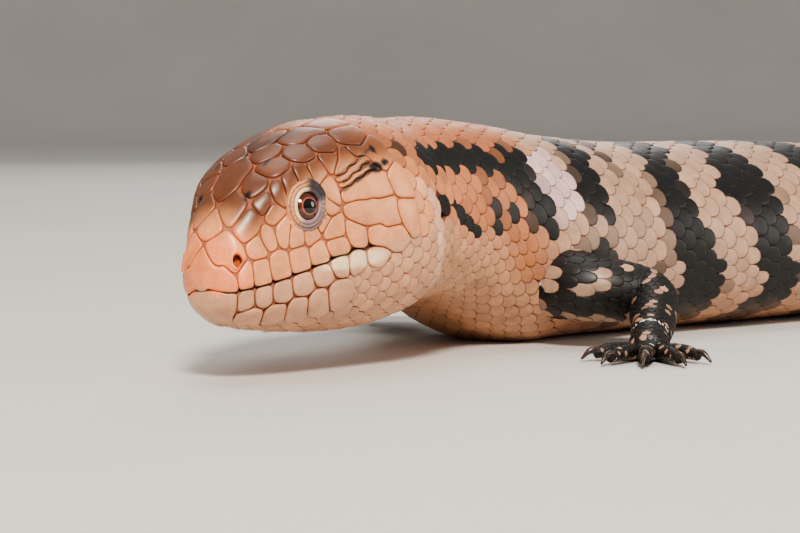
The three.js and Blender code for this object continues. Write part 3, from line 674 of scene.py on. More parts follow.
def foot_parts(leg):
    """The joints and radii of a foot's palm, of its five toes and of their claws."""
    joints = leg_joints(leg)
    wrist = joints[-1]
    along = unit(wrist - joints[-2])
    _, back, _, _ = frame_at(float(leg.at))

    def spun(way, degrees):
        return turned(way, np.array([0.0, 0.0, 1.0]), np.array(math.radians(degrees)))

    forward = spun(unit(np.array([-back[0], -back[1], 0.0])), leg.side * -leg.toes)
    start = wrist + along * GAP
    palm = level(start + forward * PALM_LENGTH, 2.2)
    middle = level((start + palm) / 2, 3.0)
    radius = leg.line[-1][3]
    sole = ([start - along * 1.2, start + along * 2, middle, palm, palm + forward * 1.5],
            [radius, radius, radius + 0.4, radius - 0.2, 2.6])
    toes, claws = [], []
    for spread_degrees, length in zip(TOE_SPREAD, TOE_LENGTH):
        way = spun(forward, leg.side * -spread_degrees)
        root = level(middle + way * 2, 2.2)
        knuckle = level(root + way * (PALM_LENGTH * 0.62 + length * 0.5), 2.5)
        tip = level(root + way * (PALM_LENGTH * 0.62 + length), 1.8)
        toes.append(([root, knuckle, tip], [TOE_RADIUS + 0.3, TOE_RADIUS, TOE_RADIUS * 0.72]))
        claws.append(([tip - way * 1.5, level(tip + way, 2.0), level(tip + way * CLAW_LENGTH, 0.55)],
                      [1.0, 0.8, 0.25]))
    return sole, toes, claws


def smooth(low, high, x):
    """A soft step from 0 at low to 1 at high."""
    t = np.clip((np.asarray(x, float) - low) / (high - low), 0, 1)
    return t * t * (3 - 2 * t)


def blend(a, b, share):
    """Values moved from a towards b, by a share for each."""
    return a + (b - a) * np.asarray(share)[..., None]


def waver(a, b, seed):
    """A soft, repeatable wobble between about -1 and 1."""
    pick = np.random.default_rng(seed)
    total = 0
    for octave in (1.0, 2.1, 4.3):
        ka, kb, phase = pick.uniform(-1, 1), pick.uniform(-1, 1), pick.uniform(0, 6.28)
        total = total + np.sin(octave * (ka * a + kb * b) + phase) / octave ** 0.7
    return total / 1.9


# Dark blotches behind the head: length, angle up from the side, half-length, half-height in degrees
BLOTCHES = [(67.5, 37, 8.5, 8.5), (77, 39, 5, 5), (87, 37, 10, 12), (97, 46, 5, 7), (98, 34, 4, 5),
            (102.5, 13, 5, 6.5), (123, 36, 7, 20), (126, 62, 6, 18), (122, 4, 6, 12), (95, 24, 3, 5)]
SPOTS = [(54.6, 59.5, 2.0, 2.2), (56.1, 53.5, 1.3, 2.4), (50.1, 43, 1.2, 2.6), (44.6, 43, 0.8, 2.0),
         (52.9, 35, 1.1, 2.4), (52.9, 41, 0.7, 1.4), (42.4, 34.6, 1.9, 2.6), (45.6, 35.6, 1.2, 1.6),
         (60, 64, 1.6, 3), (12.3, 61, 1.0, 2.5), (20.6, 66, 1.4, 1.5)]
# Thin dark lines: from, to, half-width in millimetres and strength
LINES = [((30.6, 28.6), (35.8, 31.4), 0.22, 0.75), ((35.8, 31.4), (41.5, 34.2), 0.3, 0.9),
         ((32.5, 32.5), (38, 35.8), 0.2, 0.6), ((38, 35.8), (41.5, 37.6), 0.35, 0.8),
         ((31.8, 36), (37, 38.8), 0.22, 0.6), ((37, 38.8), (42.9, 43), 0.25, 0.6),
         ((62, 27.5), (64.4, 10.5), 0.8, 1.0), ((64.4, 10.5), (61, 5.5), 0.9, 1.0),
         ((68.6, 9), (72, 3), 0.8, 1.0), ((72, 3), (78, -9), 0.9, 1.0), ((83, 21), (87, 10), 1.3, 1.0),
         ((87, 10), (85, 0), 0.9, 1.0), ((87, 11), (93, 8), 1.2, 1.0), ((99, 32), (104, 18), 2.2, 1.0)]
# Pale patches as the blotches, one of them a painted highlight on the lower lip, and the fold of the neck,
# where a highlight is painted, as places along it
LILAC = (109, 34, 10, 17)
LIP_HIGHLIGHT_PATCH = (30, -5.5, 9, 6)
FOLD = ((55.5, 22), (57.5, -2), (57.5, -34))
# Dark bands: the middle of the first, and the step from one to the next on trunk and tail
FIRST_BAND, TRUNK_BAND_STEP, TAIL_BAND_STEP = 131.0, 29.0, 21.0


def line_distance(s, f, start, end):
    """Distance in millimetres along the hide from a line between two places."""
    arc = girth(start[0]) / 360
    ax, ay = s - start[0], (f - start[1]) * arc
    bx, by = end[0] - start[0], (end[1] - start[1]) * arc
    share = np.clip((ax * bx + ay * by) / (bx * bx + by * by), 0, 1)
    return np.hypot(ax - bx * share, ay - by * share)


def oval(s, f, patch):
    """How far a place lies from the middle of an oval patch, squared, 1 at its rim."""
    at, angle, along, around = patch
    return ((s - at) / along) ** 2 + ((f - angle) / around) ** 2


def ground_tone(s, f, colours, ragged):
    """The hide's colour under its dark markings, with painted highlights on the lower lip and along the fold
    of the neck.
    """
    crown, cheek, snout, jaw, nape, pale_band = (
        np.array(getattr(colours, name)) for name in ("crown", "cheek", "snout", "jaw", "nape", "pale_band"))
    lips = lips_at(s)
    base = np.broadcast_to(cheek, s.shape + (3,))
    base = blend(base, crown, smooth(31, 47, f + 3 * waver(s / 6, f / 16, 3)) * smooth(5, 11, s))
    base = blend(base, crown * 0.5, smooth(0.25, 0.75, waver(s / 3.1, f / 9, 5)) * smooth(46, 58, f)
                 * smooth(6, 10, s) * smooth(40, 30, s))
    base = blend(base, snout, smooth(9, 4, s) * smooth(70, 50, f))
    base = blend(base, snout * 0.86, smooth(6, 3, s) * smooth(50, 75, f))
    base = blend(base, jaw, smooth(lips + 1, lips - 3, f))
    base = blend(base, nape, smooth(46, 60, s + 0.25 * (f - 30)) * smooth(10, 34, f))
    base = blend(base, nape * 1.12, smooth(60, 74, s) * smooth(-20, 4, f) * smooth(34, 10, f))
    pale = blend(np.broadcast_to(nape, s.shape + (3,)), pale_band, smooth(96, 112, s))
    pale = blend(pale, jaw * 0.9, smooth(-14, -34, f) * smooth(66, 100, s) * smooth(420, 330, s))
    base = blend(base, pale, smooth(84, 100, s))
    # Painted highlight: a pale patch on the lower lip
    base = blend(base, np.array(LIP_HIGHLIGHT), 0.85 * smooth(1.4, 0.4, oval(s, f, LIP_HIGHLIGHT_PATCH)))
    # Painted highlight along the front edge of the neck's fold
    near_fold = np.minimum(line_distance(s, f, *FOLD[:2]), line_distance(s, f, *FOLD[1:]))
    base = blend(base, np.array(FOLD_HIGHLIGHT), 0.75 * smooth(2.6, 0.8, near_fold))
    return blend(base, np.array(LILAC_GREY), smooth(1.3, 0.7, oval(s, f, LILAC) + ragged))


def dark_share(s, f, ragged, scatter):
    """How far a place is covered by blotches, spots, thin lines, bands and flecks."""
    dark = np.zeros(s.shape)
    for patch in BLOTCHES:
        dark = np.maximum(dark, smooth(1.25, 0.8, oval(s, f, patch) + ragged * 1.2))
    for patch in SPOTS:
        dark = np.maximum(dark, smooth(1.6, 0.6, oval(s, f, patch) + scatter))
    for start, end, half, strength in LINES:
        far = line_distance(s, f, start, end) / half
        dark = np.maximum(dark, strength * smooth(1.9, 0.9, far + ragged))
    trunk = s < TAIL_START
    bands = np.where(trunk, (s - FIRST_BAND) / TRUNK_BAND_STEP,
                     (TAIL_START - FIRST_BAND) / TRUNK_BAND_STEP + (s - TAIL_START) / TAIL_BAND_STEP)
    bands = bands + 0.10 * waver(s / 9, f / 14, 17) + 0.10 * np.sin(f / 19.0) + 0.12 * scatter
    wave = np.cos(2 * np.pi * bands)
    width = np.where(trunk, 0.05, 0.35) - 0.45 * smooth(10, -30, f)
    pale = smooth(width + 0.12, width - 0.12, wave + 0.55 * ragged - 0.2 * smooth(0, -40, f))
    dark = np.maximum(dark, (1 - pale) * smooth(133, 139, s) * (0.55 + 0.45 * smooth(-62, -30, f)))
    flecks = smooth(0.55, 0.8, waver(s / 3.0, f / 7.0, 23))
    return np.maximum(dark, 0.8 * flecks * smooth(112, 130, s) * smooth(60, 10, f) * smooth(-50, -20, f))


def tone(length, degrees, colours, scatter=0.0):
    """The hide's colour at a length and an angle; scatter moves the edge of each marking."""
    s, d = np.broadcast_arrays(np.asarray(length, float), np.asarray(degrees, float))
    f = folded_angle(d)
    right = (np.mod(d, 360.0) > 90) & (np.mod(d, 360.0) < 270)
    s = s + np.where(right, 2.6 * np.sin(f / 17.0), 0) * smooth(66, 80, s)
    ragged = 0.32 * waver(s / 4.5, f / 9.0, 11) + scatter
    base = ground_tone(s, f, colours, ragged)
    return blend(base, np.array(colours.black), dark_share(s, f, ragged, scatter))


MOUTH_LENGTHS = np.linspace(0.5, 70, 90)
MOUTH_ANGLES = np.array([mouth_angle(min(s, MOUTH_CORNER)) for s in MOUTH_LENGTHS])


def lips_at(length):
    """The angle of the closed mouth at a length."""
    return np.interp(length, MOUTH_LENGTHS, MOUTH_ANGLES)


def over_mouth(length, degrees):
    """How far over the line of the mouth a place lies, in millimetres round the head."""
    return (folded_angle(degrees) - lips_at(length)) * girth(length) / 360


# Tiles of the unwrap, as start across and up and size across and up; limbs also have a step
BODY_TILE = (0.0, 0.0, 1.0, 0.46)
LIMB_TILES_AT = 0.52
LIMB_TILES = {"leg": (0.12, 0.50, 0.11, 0.20), "palm": (0.12, 0.72, 0.11, 0.08),
              "toe": (0.0235, 0.82, 0.021, 0.15)}


def tile_of(kind, number):
    """The tile of a leg, a palm or a toe."""
    step, up, across, tall = LIMB_TILES[kind]
    return (LIMB_TILES_AT + step * number, up, across, tall)


def bake_place(length, degrees):
    """The place on the unwrap: a disc for the head, a strip for the body behind it."""
    s, d = np.asarray(length, float), np.asarray(degrees, float)
    turn = np.radians(d)
    (x, y), radius = BAKE_DISC
    reach = radius * s / BAKE_SPLIT
    disc = np.stack([x + reach * np.cos(turn), y + reach * np.sin(turn)], -1)
    left, low, wide, tall = BAKE_STRIP
    strip = np.stack([left + wide * s / LENGTH, low + tall * np.mod(d + 90, 360) / 360], -1)
    return np.where((s < BAKE_SPLIT)[..., None], disc, strip)


class Bed:
    """A surface that scales are laid on: a grid of points with its outward directions and its tile."""

    def __init__(self, points, out, tile, lengths):
        self.points, self.out, self.tile, self.lengths = points, out, tile, lengths
        self.span = np.linalg.norm(np.diff(points[:, :-1].mean(1), axis=0), axis=1).sum()
        self.round = np.linalg.norm(np.diff(points, axis=1), axis=2).sum(1)


def body_bed():
    """The bed of head, trunk and tail."""
    lengths = np.concatenate([np.arange(BED_START, 68, 0.6), np.arange(68, TAIL_START, 1.5),
                              np.arange(TAIL_START, LENGTH - 2, 1.5), [LENGTH - 1]])
    s, d = np.meshgrid(lengths, np.linspace(0, 360, 145), indexing="ij")
    return Bed(skin_point(s, d, -COAT_DEPTH), skin_out(s, d), BODY_TILE, lengths / LENGTH)


def limb_bed(points, radii, tile, steps, columns):
    """The bed of a leg, a palm or a toe."""
    rings = tube_rings(points, radii, steps, columns, -LIMB_COAT_DEPTH)
    rings = np.concatenate([rings, rings[:, :1]], 1)
    middle = rings[:, :-1].mean(1, keepdims=True)
    return Bed(rings, unit(rings - middle), tile, np.linspace(0, 1, steps))


def bed_mesh(beds):
    """One mesh that holds every bed, with its unwrap and its outward directions."""
    places, faces = [], []
    start = 0
    for bed in beds:
        rows, columns = bed.points.shape[:2]
        across, up = np.meshgrid(bed.lengths, np.linspace(0, 1, columns), indexing="ij")
        left, low, wide, tall = bed.tile
        places.append(np.stack([left + across * wide, low + up * tall], -1).reshape(-1, 2))
        faces += grid_faces(rows, columns, closed=False, offset=start)
        start += rows * columns
    made = new_object("scale_bed", np.concatenate([bed.points.reshape(-1, 3) for bed in beds]), faces)
    attribute(made.data, "out", "FLOAT_VECTOR", np.concatenate([bed.out.reshape(-1, 3) for bed in beds]))
    unwrap(made.data, "unwrap", np.concatenate(places))
    return made


def scale_plate():
    """One scale, lying flat: a rounded plate 1 long and 1 wide, its free edge at +X."""
    sides, squareness = 14, 2.5
    turn = np.linspace(0, 2 * np.pi, sides + 1)[:-1]
    c, s = np.cos(turn), np.sin(turn)
    reach = (np.abs(c) ** squareness + np.abs(s) ** squareness) ** (-1 / squareness)
    taper = np.where(c < 0, 1 - 0.25 * c * c, 1)
    outline = np.stack([0.5 * c * reach, 0.5 * s * reach * taper], 1)
    # Size, drop and nearness to the flat middle of each ring; the plate rises toward its free edge
    levels = ((1.0, -1.25, 0.0), (1.0, -0.34, 0.0), (0.91, -0.05, 0.45), (0.72, 0.1, 1.0))
    rings = np.array([outline * size for size, _, _ in levels])
    heights = np.array([1.05 + 1.75 * ring[:, 0] + drop for ring, (_, drop, _) in zip(rings, levels)])
    points = np.vstack([np.column_stack([rings.reshape(-1, 2), heights.ravel()]), [[0, 0, 1.25]]])
    rim = [edge for _, _, edge in levels for _ in range(sides)] + [1.0]
    last = (len(levels) - 1) * sides
    faces = [face[::-1] for face in grid_faces(len(levels), sides)]
    faces += [(last + j, last + (j + 1) % sides, len(levels) * sides) for j in range(sides)]
    faces.append(tuple(reversed(range(sides))))
    made = new_object("scale_plate", points, faces, measure=1)
    face_out(made.data)
    attribute(made.data, "rim", "FLOAT", rim)
    return made


def lay_tree(material):
    """The node tree that sets a scale on every root, then wraps the scales over the bed."""
    tree = bpy.data.node_groups.new("lay_scales", "GeometryNodeTree")
    for name, kind in (("Geometry", "Geometry"), ("Scale", "Object"), ("Bed", "Object"),
                       ("Thickness", "Float")):
        tree.interface.new_socket(name, in_out="INPUT", socket_type="NodeSocket" + kind)
    tree.interface.new_socket("Geometry", in_out="OUTPUT", socket_type="NodeSocketGeometry")
    node, link = tree.nodes.new, tree.links.new
    given, result = node("NodeGroupInput"), node("NodeGroupOutput")

    def wired(kind, *values, **settings):
        made = node(kind)
        for name, value in settings.items():
            setattr(made, name, value)
        for socket, value in zip(made.inputs, values):
            if hasattr(value, "is_output"):
                link(value, socket)
            else:
                socket.default_value = value
        return made.outputs

    def named(name):
        return wired("GeometryNodeInputNamedAttribute", name, data_type="FLOAT_VECTOR")["Attribute"]

    def maths(operation, *values):
        return wired("ShaderNodeMath", *values, operation=operation)[0]

    def vector(operation, *values):
        return wired("ShaderNodeVectorMath", *values, operation=operation)[0]

    def object_mesh(socket):
        return wired("GeometryNodeObjectInfo", socket)["Geometry"]

    where = wired("GeometryNodeInputPosition")[0]
    flat_at = wired("ShaderNodeSeparateXYZ", where)
    round_again = wired("ShaderNodeCombineXYZ", flat_at["X"], maths("FRACT", flat_at["Y"]))[0]
    on_unwrap = vector("ADD", named("tile_at"), vector("MULTIPLY", round_again, named("tile_size")))
    bed = object_mesh(given.outputs["Bed"])

    def sampled(value):
        made = node("GeometryNodeSampleUVSurface")
        made.data_type = "FLOAT_VECTOR"
        link(bed, made.inputs["Mesh"])
        link(named("unwrap"), made.inputs["Source UV Map"])
        link(on_unwrap, made.inputs["Sample UV"])
        link(value, made.inputs["Value"])
        return made.outputs["Value"]

    rise = node("ShaderNodeVectorMath")
    rise.operation = "SCALE"
    link(sampled(named("out")), rise.inputs[0])
    link(maths("MULTIPLY", flat_at["Z"], given.outputs["Thickness"]), rise.inputs["Scale"])
    lifted = wired("ShaderNodeSeparateXYZ", vector("ADD", sampled(where), rise.outputs[0]))
    on_floor = wired("ShaderNodeCombineXYZ", lifted["X"], lifted["Y"],
                     maths("MAXIMUM", lifted["Z"], FLOOR_GAP))[0]
    place = node("GeometryNodeInstanceOnPoints")
    link(given.outputs["Geometry"], place.inputs["Points"])
    link(object_mesh(given.outputs["Scale"]), place.inputs["Instance"])
    link(named("size"), place.inputs["Scale"])
    real = wired("GeometryNodeRealizeInstances", place.outputs["Instances"])[0]
    move = node("GeometryNodeSetPosition")
    link(real, move.inputs["Geometry"])
    link(on_floor, move.inputs["Position"])
    finish = node("GeometryNodeSetMaterial")
    finish.inputs["Material"].default_value = material
    link(move.outputs["Geometry"], finish.inputs["Geometry"])
    link(finish.outputs["Geometry"], result.inputs[0])
    return tree


def lay_scales(name, roots, plate, bed, tree, thickness):
    """Runs the tree on a set of scale roots and keeps the outcome as a plain mesh."""
    count = len(roots["u"])
    none = np.zeros(count)
    carrier = new_object(name + "_roots", np.column_stack([roots["u"], roots["turn"], none]), [], measure=1)
    mesh, tile = carrier.data, roots["tile"]
    attribute(mesh, "size", "FLOAT_VECTOR", np.column_stack([roots["long"], roots["wide"], roots["thick"]]))
    attribute(mesh, "tile_at", "FLOAT_VECTOR", np.column_stack([tile[:, :2], none]))
    attribute(mesh, "tile_size", "FLOAT_VECTOR", np.column_stack([tile[:, 2:], none]))
    paint(mesh, roots["tint"])
    modifier = carrier.modifiers.new("lay", "NODES")
    modifier.node_group = tree
    socket = {s.name: s.identifier for s in tree.interface.items_tree if s.in_out == "INPUT"}
    modifier[socket["Scale"]] = plate
    modifier[socket["Bed"]] = bed
    modifier[socket["Thickness"]] = thickness
    laid = plain_mesh(carrier)
    bpy.data.objects.remove(carrier)
    laid.name = name
    corners = len(plate.data.vertices)
    shape = np.zeros(corners * 3)
    plate.data.vertices.foreach_get("co", shape)
    shape = shape.reshape(-1, 3)[:, :2] * BAKE_PATCH
    unwrap(laid, "OFBake", np.repeat(roots["bake"], corners, 0) + np.tile(shape, (count, 1)))
    return put_in_scene(name, laid)


def root_table(lengths, degrees, long, wide, thick, colours, pick):
    """Roots of body scales as the coat's tree reads them."""
    scatter = pick.normal(0, 0.16, len(lengths))
    tint = tone(lengths, degrees, colours, scatter) * pick.uniform(0.9, 1.1, (len(lengths), 1))
    return {"u": lengths / LENGTH, "turn": np.mod(degrees / 360, 1), "long": long / LENGTH,
            "wide": wide / girth(lengths), "thick": thick, "tile": np.tile(BODY_TILE, (len(lengths), 1)),
            "tint": tint, "bake": bake_place(lengths, degrees)}


def body_rows():
    """Length, angle, scale length and scale width of every scale on the body, row behind row."""
    rows = []
    number = 0
    for start, end, count in ROW_ZONES:
        length = start
        while length < end:
            width = float(girth(length)) / count
            degrees = 90 + (np.arange(count) + 0.5 * (number % 2)) * 360 / count
            sizes = (width * SCALE_LENGTH, width * SCALE_WIDTH)
            rows += [(length, angle, *sizes) for angle in degrees]
            length += width * ROW_PITCH
            number += 1
    return np.array(rows)


def leg_line(leg):
    """Points, directions and radii along the middle of a leg."""
    return curve_points(leg_joints(leg), [row[3] for row in leg.line], 24)


def in_a_leg(points, depth=0.6):
    """Whether each point lies inside a leg by more than a depth."""
    inside = np.zeros(len(points), bool)
    for leg in LEGS.values():
        spots, _, size = leg_line(leg)
        away = np.linalg.norm(points[:, None] - spots[None], axis=2) - size[None]
        inside |= away.min(1) < -depth
    return inside


def in_the_body(points, depth=0.8):
    """Whether each point lies inside the body by more than a depth."""
    nearest = ((points[:, None, :2] - PLAN[None]) ** 2).sum(2).argmin(1).astype(float)
    origin, _, left, up = frame_at(nearest)
    away = points - origin
    middle = middle_height(nearest)
    across = (away * left).sum(1) / (half_width(nearest) - depth)
    over = (away * up).sum(1) - middle
    tall = np.where(over > 0, top(nearest) - middle, middle - under(nearest)) - depth
    return np.abs(across) ** 2.3 + np.abs(over / tall) ** 2.3 < 1


def open_to_scales(lengths, degrees, centres):
    """Where plain scales grow: outside shields and eyes, but slipping a little under the shields."""
    plain = np.array([kind == "plain" for _, kind, _ in centres])
    spots = np.array([at for _, _, at in centres])
    at = flat(lengths, degrees)
    away = np.linalg.norm(at[:, None] - spots[None], axis=2)
    excess = away[:, plain].min(1) - away[:, ~plain].min(1)
    return (excess < UNDER_SHIELDS * flat_scale(at)) | (lengths > HEAD_END - 0.5)


def ear_reach(lengths, degrees):
    """How far a place is from the middle of the ear, 1 at its rim."""
    angle = angle_at_height(EAR_BACK, EAR_UP)
    arc = (folded_angle(degrees) - angle) * girth(EAR_BACK) / 360
    return np.hypot((lengths - EAR_BACK) / EAR_HALF[0], arc / EAR_HALF[1])


def body_scales(colours, sizes):
    """All scales of the body as one table: kept clear of shields, eyes, ears and legs."""
    pick = np.random.default_rng(sizes.seed)
    rows = body_rows()
    lengths, degrees, long, wide = rows.T
    degrees = degrees + pick.normal(0, 0.25, len(lengths))
    lengths = lengths + pick.normal(0, 0.03, len(lengths)) * wide
    keep = open_to_scales(lengths, degrees, scale_centres()) & (ear_reach(lengths, degrees) > 1.05)
    keep &= ~in_a_leg(skin_point(lengths, degrees, -0.3))
    keep &= (lengths - long / 2 > BED_START + 0.1) & (lengths + long / 2 < LENGTH - 1.2)
    lengths, degrees, long, wide = lengths[keep], degrees[keep], long[keep], wide[keep]
    thick = np.where(lengths < 62, 1.15, np.clip(wide / 5.0, 0.6, 1.1))
    return lengths, root_table(lengths, degrees, long, wide, thick, colours, pick)


def leg_tone(turns, colours, pick, paler):
    """Colour of a scale on a leg: black above with tan flecks, paler beneath."""
    black, tan = np.array(colours.black) * 1.6, np.array(colours.pale_band)
    count = len(turns)
    under_side = smooth(-0.35, -0.85, np.sin(2 * np.pi * turns)) * paler
    fleck = (pick.random(count) < 0.13 + 0.5 * under_side)[:, None]
    tint = np.where(fleck, tan[None] * pick.uniform(0.6, 1.0, (count, 1)), black[None])
    return tint * pick.uniform(0.85, 1.2, (count, 1))


def limb_table(bed, count, colours, pick, paler, hidden=None):
    """Roots of scales round a limb in staggered rows, free edges toward the toes."""
    rows = []
    at, number = 0.02, 0
    while at < 1:
        width = float(np.interp(at, bed.lengths, bed.round)) / count
        long = width * SCALE_LENGTH / bed.span
        if at - long / 2 > 0.004 and at + long / 2 < 0.996:
            turns = (np.arange(count) + 0.5 * (number % 2)) / count
            rows += [(at, turn, long, SCALE_WIDTH / count, width) for turn in turns]
        at += width * ROW_PITCH / bed.span
        number += 1
    rows = np.array(rows)
    steps, columns = bed.points.shape[:2]
    i = np.clip((rows[:, 0] * (steps - 1)).round().astype(int), 0, steps - 1)
    j = np.clip((rows[:, 1] * (columns - 1)).round().astype(int), 0, columns - 2)
    rows = rows[~hidden(bed.points[i, j])] if hidden else rows
    tile = np.tile(bed.tile, (len(rows), 1))
    return {"u": rows[:, 0], "turn": rows[:, 1], "long": rows[:, 2], "wide": rows[:, 3],
            "thick": np.clip(rows[:, 4] / 5.0, 0.45, 0.9), "tile": tile,
            "tint": leg_tone(rows[:, 1], colours, pick, paler),
            "bake": tile[:, :2] + rows[:, :2] * tile[:, 2:]}


def joined_tables(tables):
    """Tables of roots as one."""
    return {key: np.concatenate([table[key] for table in tables]) for key in tables[0]}


def chosen(table, keep):
    """The roots of a table that are kept."""
    return {key: values[keep] for key, values in table.items()}


def resampled(outline, spacing):
    """A closed outline with evenly spaced points, its corners eased."""
    ends = np.vstack([outline, outline[:1]])
    run = np.concatenate([[0], np.cumsum(np.linalg.norm(np.diff(ends, axis=0), axis=1))])
    count = max(10, int(run[-1] / spacing))
    at = np.linspace(0, run[-1], count + 1)[:-1]
    points = np.column_stack([np.interp(at, run, ends[:, 0]), np.interp(at, run, ends[:, 1])])
    for _ in range(3):
        points = (np.roll(points, 1, 0) + 2 * points + np.roll(points, -1, 0)) / 4
    return points


def flat_scale(point):
    """How many units of the flat skin a millimetre takes at a place on it."""
    length, degrees = unflat(point)
    turn = np.radians(degrees)
    step = 0.01 * np.maximum(np.hypot(point[..., 0], point[..., 1]), 0.2)
    moved = point + np.stack([-np.sin(turn), np.cos(turn)], -1) * step[..., None]
    reach = np.linalg.norm(skin_point(*unflat(moved)) - skin_point(length, degrees), axis=-1)
    return step / np.maximum(reach, 1e-6)


def inward(points):
    """The inward direction at each point of a closed flat outline that turns left."""
    along = unit(np.roll(points, -1, 0) - np.roll(points, 1, 0))
    turn_left = np.column_stack([-along[:, 1], along[:, 0]])
    area = np.cross(points, np.roll(points, -1, 0)).sum()
    return turn_left if area > 0 else -turn_left


def clear_of_eye(points, side):
    """Flat points moved out of the ring of bare skin round an eye."""
    seat, out, back, rise = eye_axes(side)
    angle = angle_at_height(EYE_BACK, EYE_UP)
    centre = flat(EYE_BACK, angle if side > 0 else 180 - angle)
    for _ in range(3):
        away = skin_point(*unflat(points)) - seat
        across, over = away @ back, away @ rise
        reach = np.hypot(across, over)
        corner = smooth(0.75, 1.0, np.cos(np.arctan2(over, across) - math.radians(LID_CORNER)))
        room = LID_REACH + LID_CORNER_REACH * corner
        push = np.where((reach < room) & (np.abs(away @ out) < 9), room / np.maximum(reach, 0.2), 1)
        points = centre + (points - centre) * push[:, None]
    return points


def shield_rings(outline, nostril):
    """Rings of one shield on the flat skin, with the height of each and its nearness to the middle."""
    measure = float(flat_scale(outline.mean(0)))
    points = resampled(outline, OUTLINE_SPACING * measure)
    for side in (1, -1):
        points = clear_of_eye(points, side)
    points = resampled(points, OUTLINE_SPACING * measure)
    scale = flat_scale(points)
    way = inward(points)
    ahead = np.roll(points, -1, 0)
    area = abs((points[:, 0] * ahead[:, 1] - points[:, 1] * ahead[:, 0]).sum()) / 2
    width = 2 * area / np.linalg.norm(ahead - points, axis=1).sum() / measure
    ease = min(1.0, 0.42 * width / 0.6)
    rings = [(points + way * ((SHIELD_GAP + inset * ease) * scale)[:, None], height, rim)
             for inset, height, rim in SHIELD_RINGS]
    inner = rings[-1][0]
    if nostril is None:
        middle = inner.mean(0)
        for share in SHIELD_SHARES:
            height = SHIELD_HEIGHT + SHIELD_CROWNING * (1 - share * share)
            rings.append((middle + (inner - middle) * share, height, 1))
        return rings, middle, SHIELD_HEIGHT + SHIELD_CROWNING, 1
    toward = inner - nostril
    reach = np.linalg.norm(toward, axis=1, keepdims=True)
    here = float(flat_scale(nostril))
    for radius, height, rim in NOSTRIL_RINGS:
        rings.append((nostril + toward / reach * np.minimum(radius * here, reach * 0.9), height, rim))
    return rings, nostril, -2.0, -1


def shield_tint(length, degrees, rim, colours, shade):
    """Colours of a shield: painted highlights on the rims of the crown, painted shade along the closed mouth
    and in the nostril.
    """
    tint = tone(length, degrees, colours) * shade
    # Painted highlight: the rims of the crown shields are lightened
    crown = smooth(44, 54, folded_angle(degrees)) * smooth(6, 10, length)
    tint = tint * (1 + 0.6 * ((1 - np.clip(rim, 0, 1)) * crown)[:, None])
    # Painted shade along the closed mouth
    mouth_shade_share = np.exp(-(over_mouth(length, degrees) / 0.42) ** 2) * smooth(0.9, 0.3, rim)
    tint = blend(tint, np.array(MOUTH_SHADE), mouth_shade_share * smooth(MOUTH_CORNER, MOUTH_CORNER - 3, length))
    # Painted shade: the inside of the nostril is dark
    return np.where(rim[:, None] < 0, np.array([NOSTRIL_SHADE]), tint)


def build_head_shields(colours, sizes, material):
    """Every shield of the head as a bevelled plate that follows the skin."""
    pick = np.random.default_rng(sizes.seed + 1)
    vertices, faces, tints, rims, places = [], [], [], [], []
    for name, outline in shield_outlines(scale_centres()):
        nostril = None
        if name.startswith("nasal"):
            nostril = flat(*NOSTRIL) * (1 if name.endswith("left") else np.array([-1, 1]))
        rings, middle, peak, peak_rim = shield_rings(outline, nostril)
        count, start = len(rings[0][0]), len(vertices)
        length, degrees = unflat(np.concatenate([ring for ring, _, _ in rings] + [middle[None]]))
        length = np.maximum(length, 0.02)
        heights = np.append(np.repeat([height for _, height, _ in rings], count), peak)
        rim = np.append(np.repeat([float(rim) for _, _, rim in rings], count), peak_rim)
        rise = heights * sizes.shield_rise / MM
        vertices.extend(skin_point(length, degrees) + skin_out(length, degrees) * rise[:, None])
        tints.extend(shield_tint(length, degrees, rim, colours, pick.uniform(0.93, 1.07)))
        rims.extend(np.clip(rim, 0, 1))
        places.extend(bake_place(length, degrees))
        last = start + (len(rings) - 1) * count
        faces += grid_faces(len(rings), count, offset=start)
        faces += [(last + j, last + (j + 1) % count, last + count) for j in range(count)]
        faces.append(tuple(start + j for j in reversed(range(count))))
    made = new_object("head_shields", vertices, faces)
    face_out(made.data)
    paint(made.data, tints)
    attribute(made.data, "rim", "FLOAT", rims)
    unwrap(made.data, "OFBake", places)
    made.data.materials.append(material)
    return made


def mouth_ends(s):
    """1 along the mouth, falling to 0 at its corner."""
    return smooth(MOUTH_CORNER + 1, MOUTH_CORNER - 2, s)


def skin_depth(s, d):
    """How far the skin lies inside the outer surface: shallow on the head, pitted at nostrils and ears."""
    depth = SHIELD_DEPTH + (COAT_DEPTH - SHIELD_DEPTH) * smooth(40, 66, s)
    depth = np.where((s < 60) & (folded_angle(d) < lips_at(s) - 12), COAT_DEPTH, depth)
    depth = depth + 0.8 * np.exp(-(over_mouth(s, d) / 0.5) ** 2) * mouth_ends(s)
    depth = depth + 2.6 * smooth(1.2, 0.7, ear_reach(s, d))
    for angle in (NOSTRIL[1], 180 - NOSTRIL[1]):
        near = np.linalg.norm(skin_point(s, d) - skin_point(NOSTRIL[0], angle), axis=-1)
        depth = depth + 2.4 * smooth(2.2, 1.2, near) * (s < 14)
    return depth


def skin_tint(s, d, colours):
    """The skin between the scales: groove colour on the head, a darker hide behind it, painted shade along
    the mouth and in the ear.
    """
    tint = tone(s, d, colours) * 0.55
    groove = np.array(colours.groove)
    tint = blend(tint, groove + tint * 0.35, smooth(66, 56, s))
    # Painted shade along the closed mouth
    tint = blend(tint, np.array(MOUTH_SHADE), np.exp(-(over_mouth(s, d) / 0.6) ** 2) * mouth_ends(s))
    # Painted shade in the ear opening
    return blend(tint, np.array(EAR_SHADE), smooth(1.1, 0.8, ear_reach(s, d)))


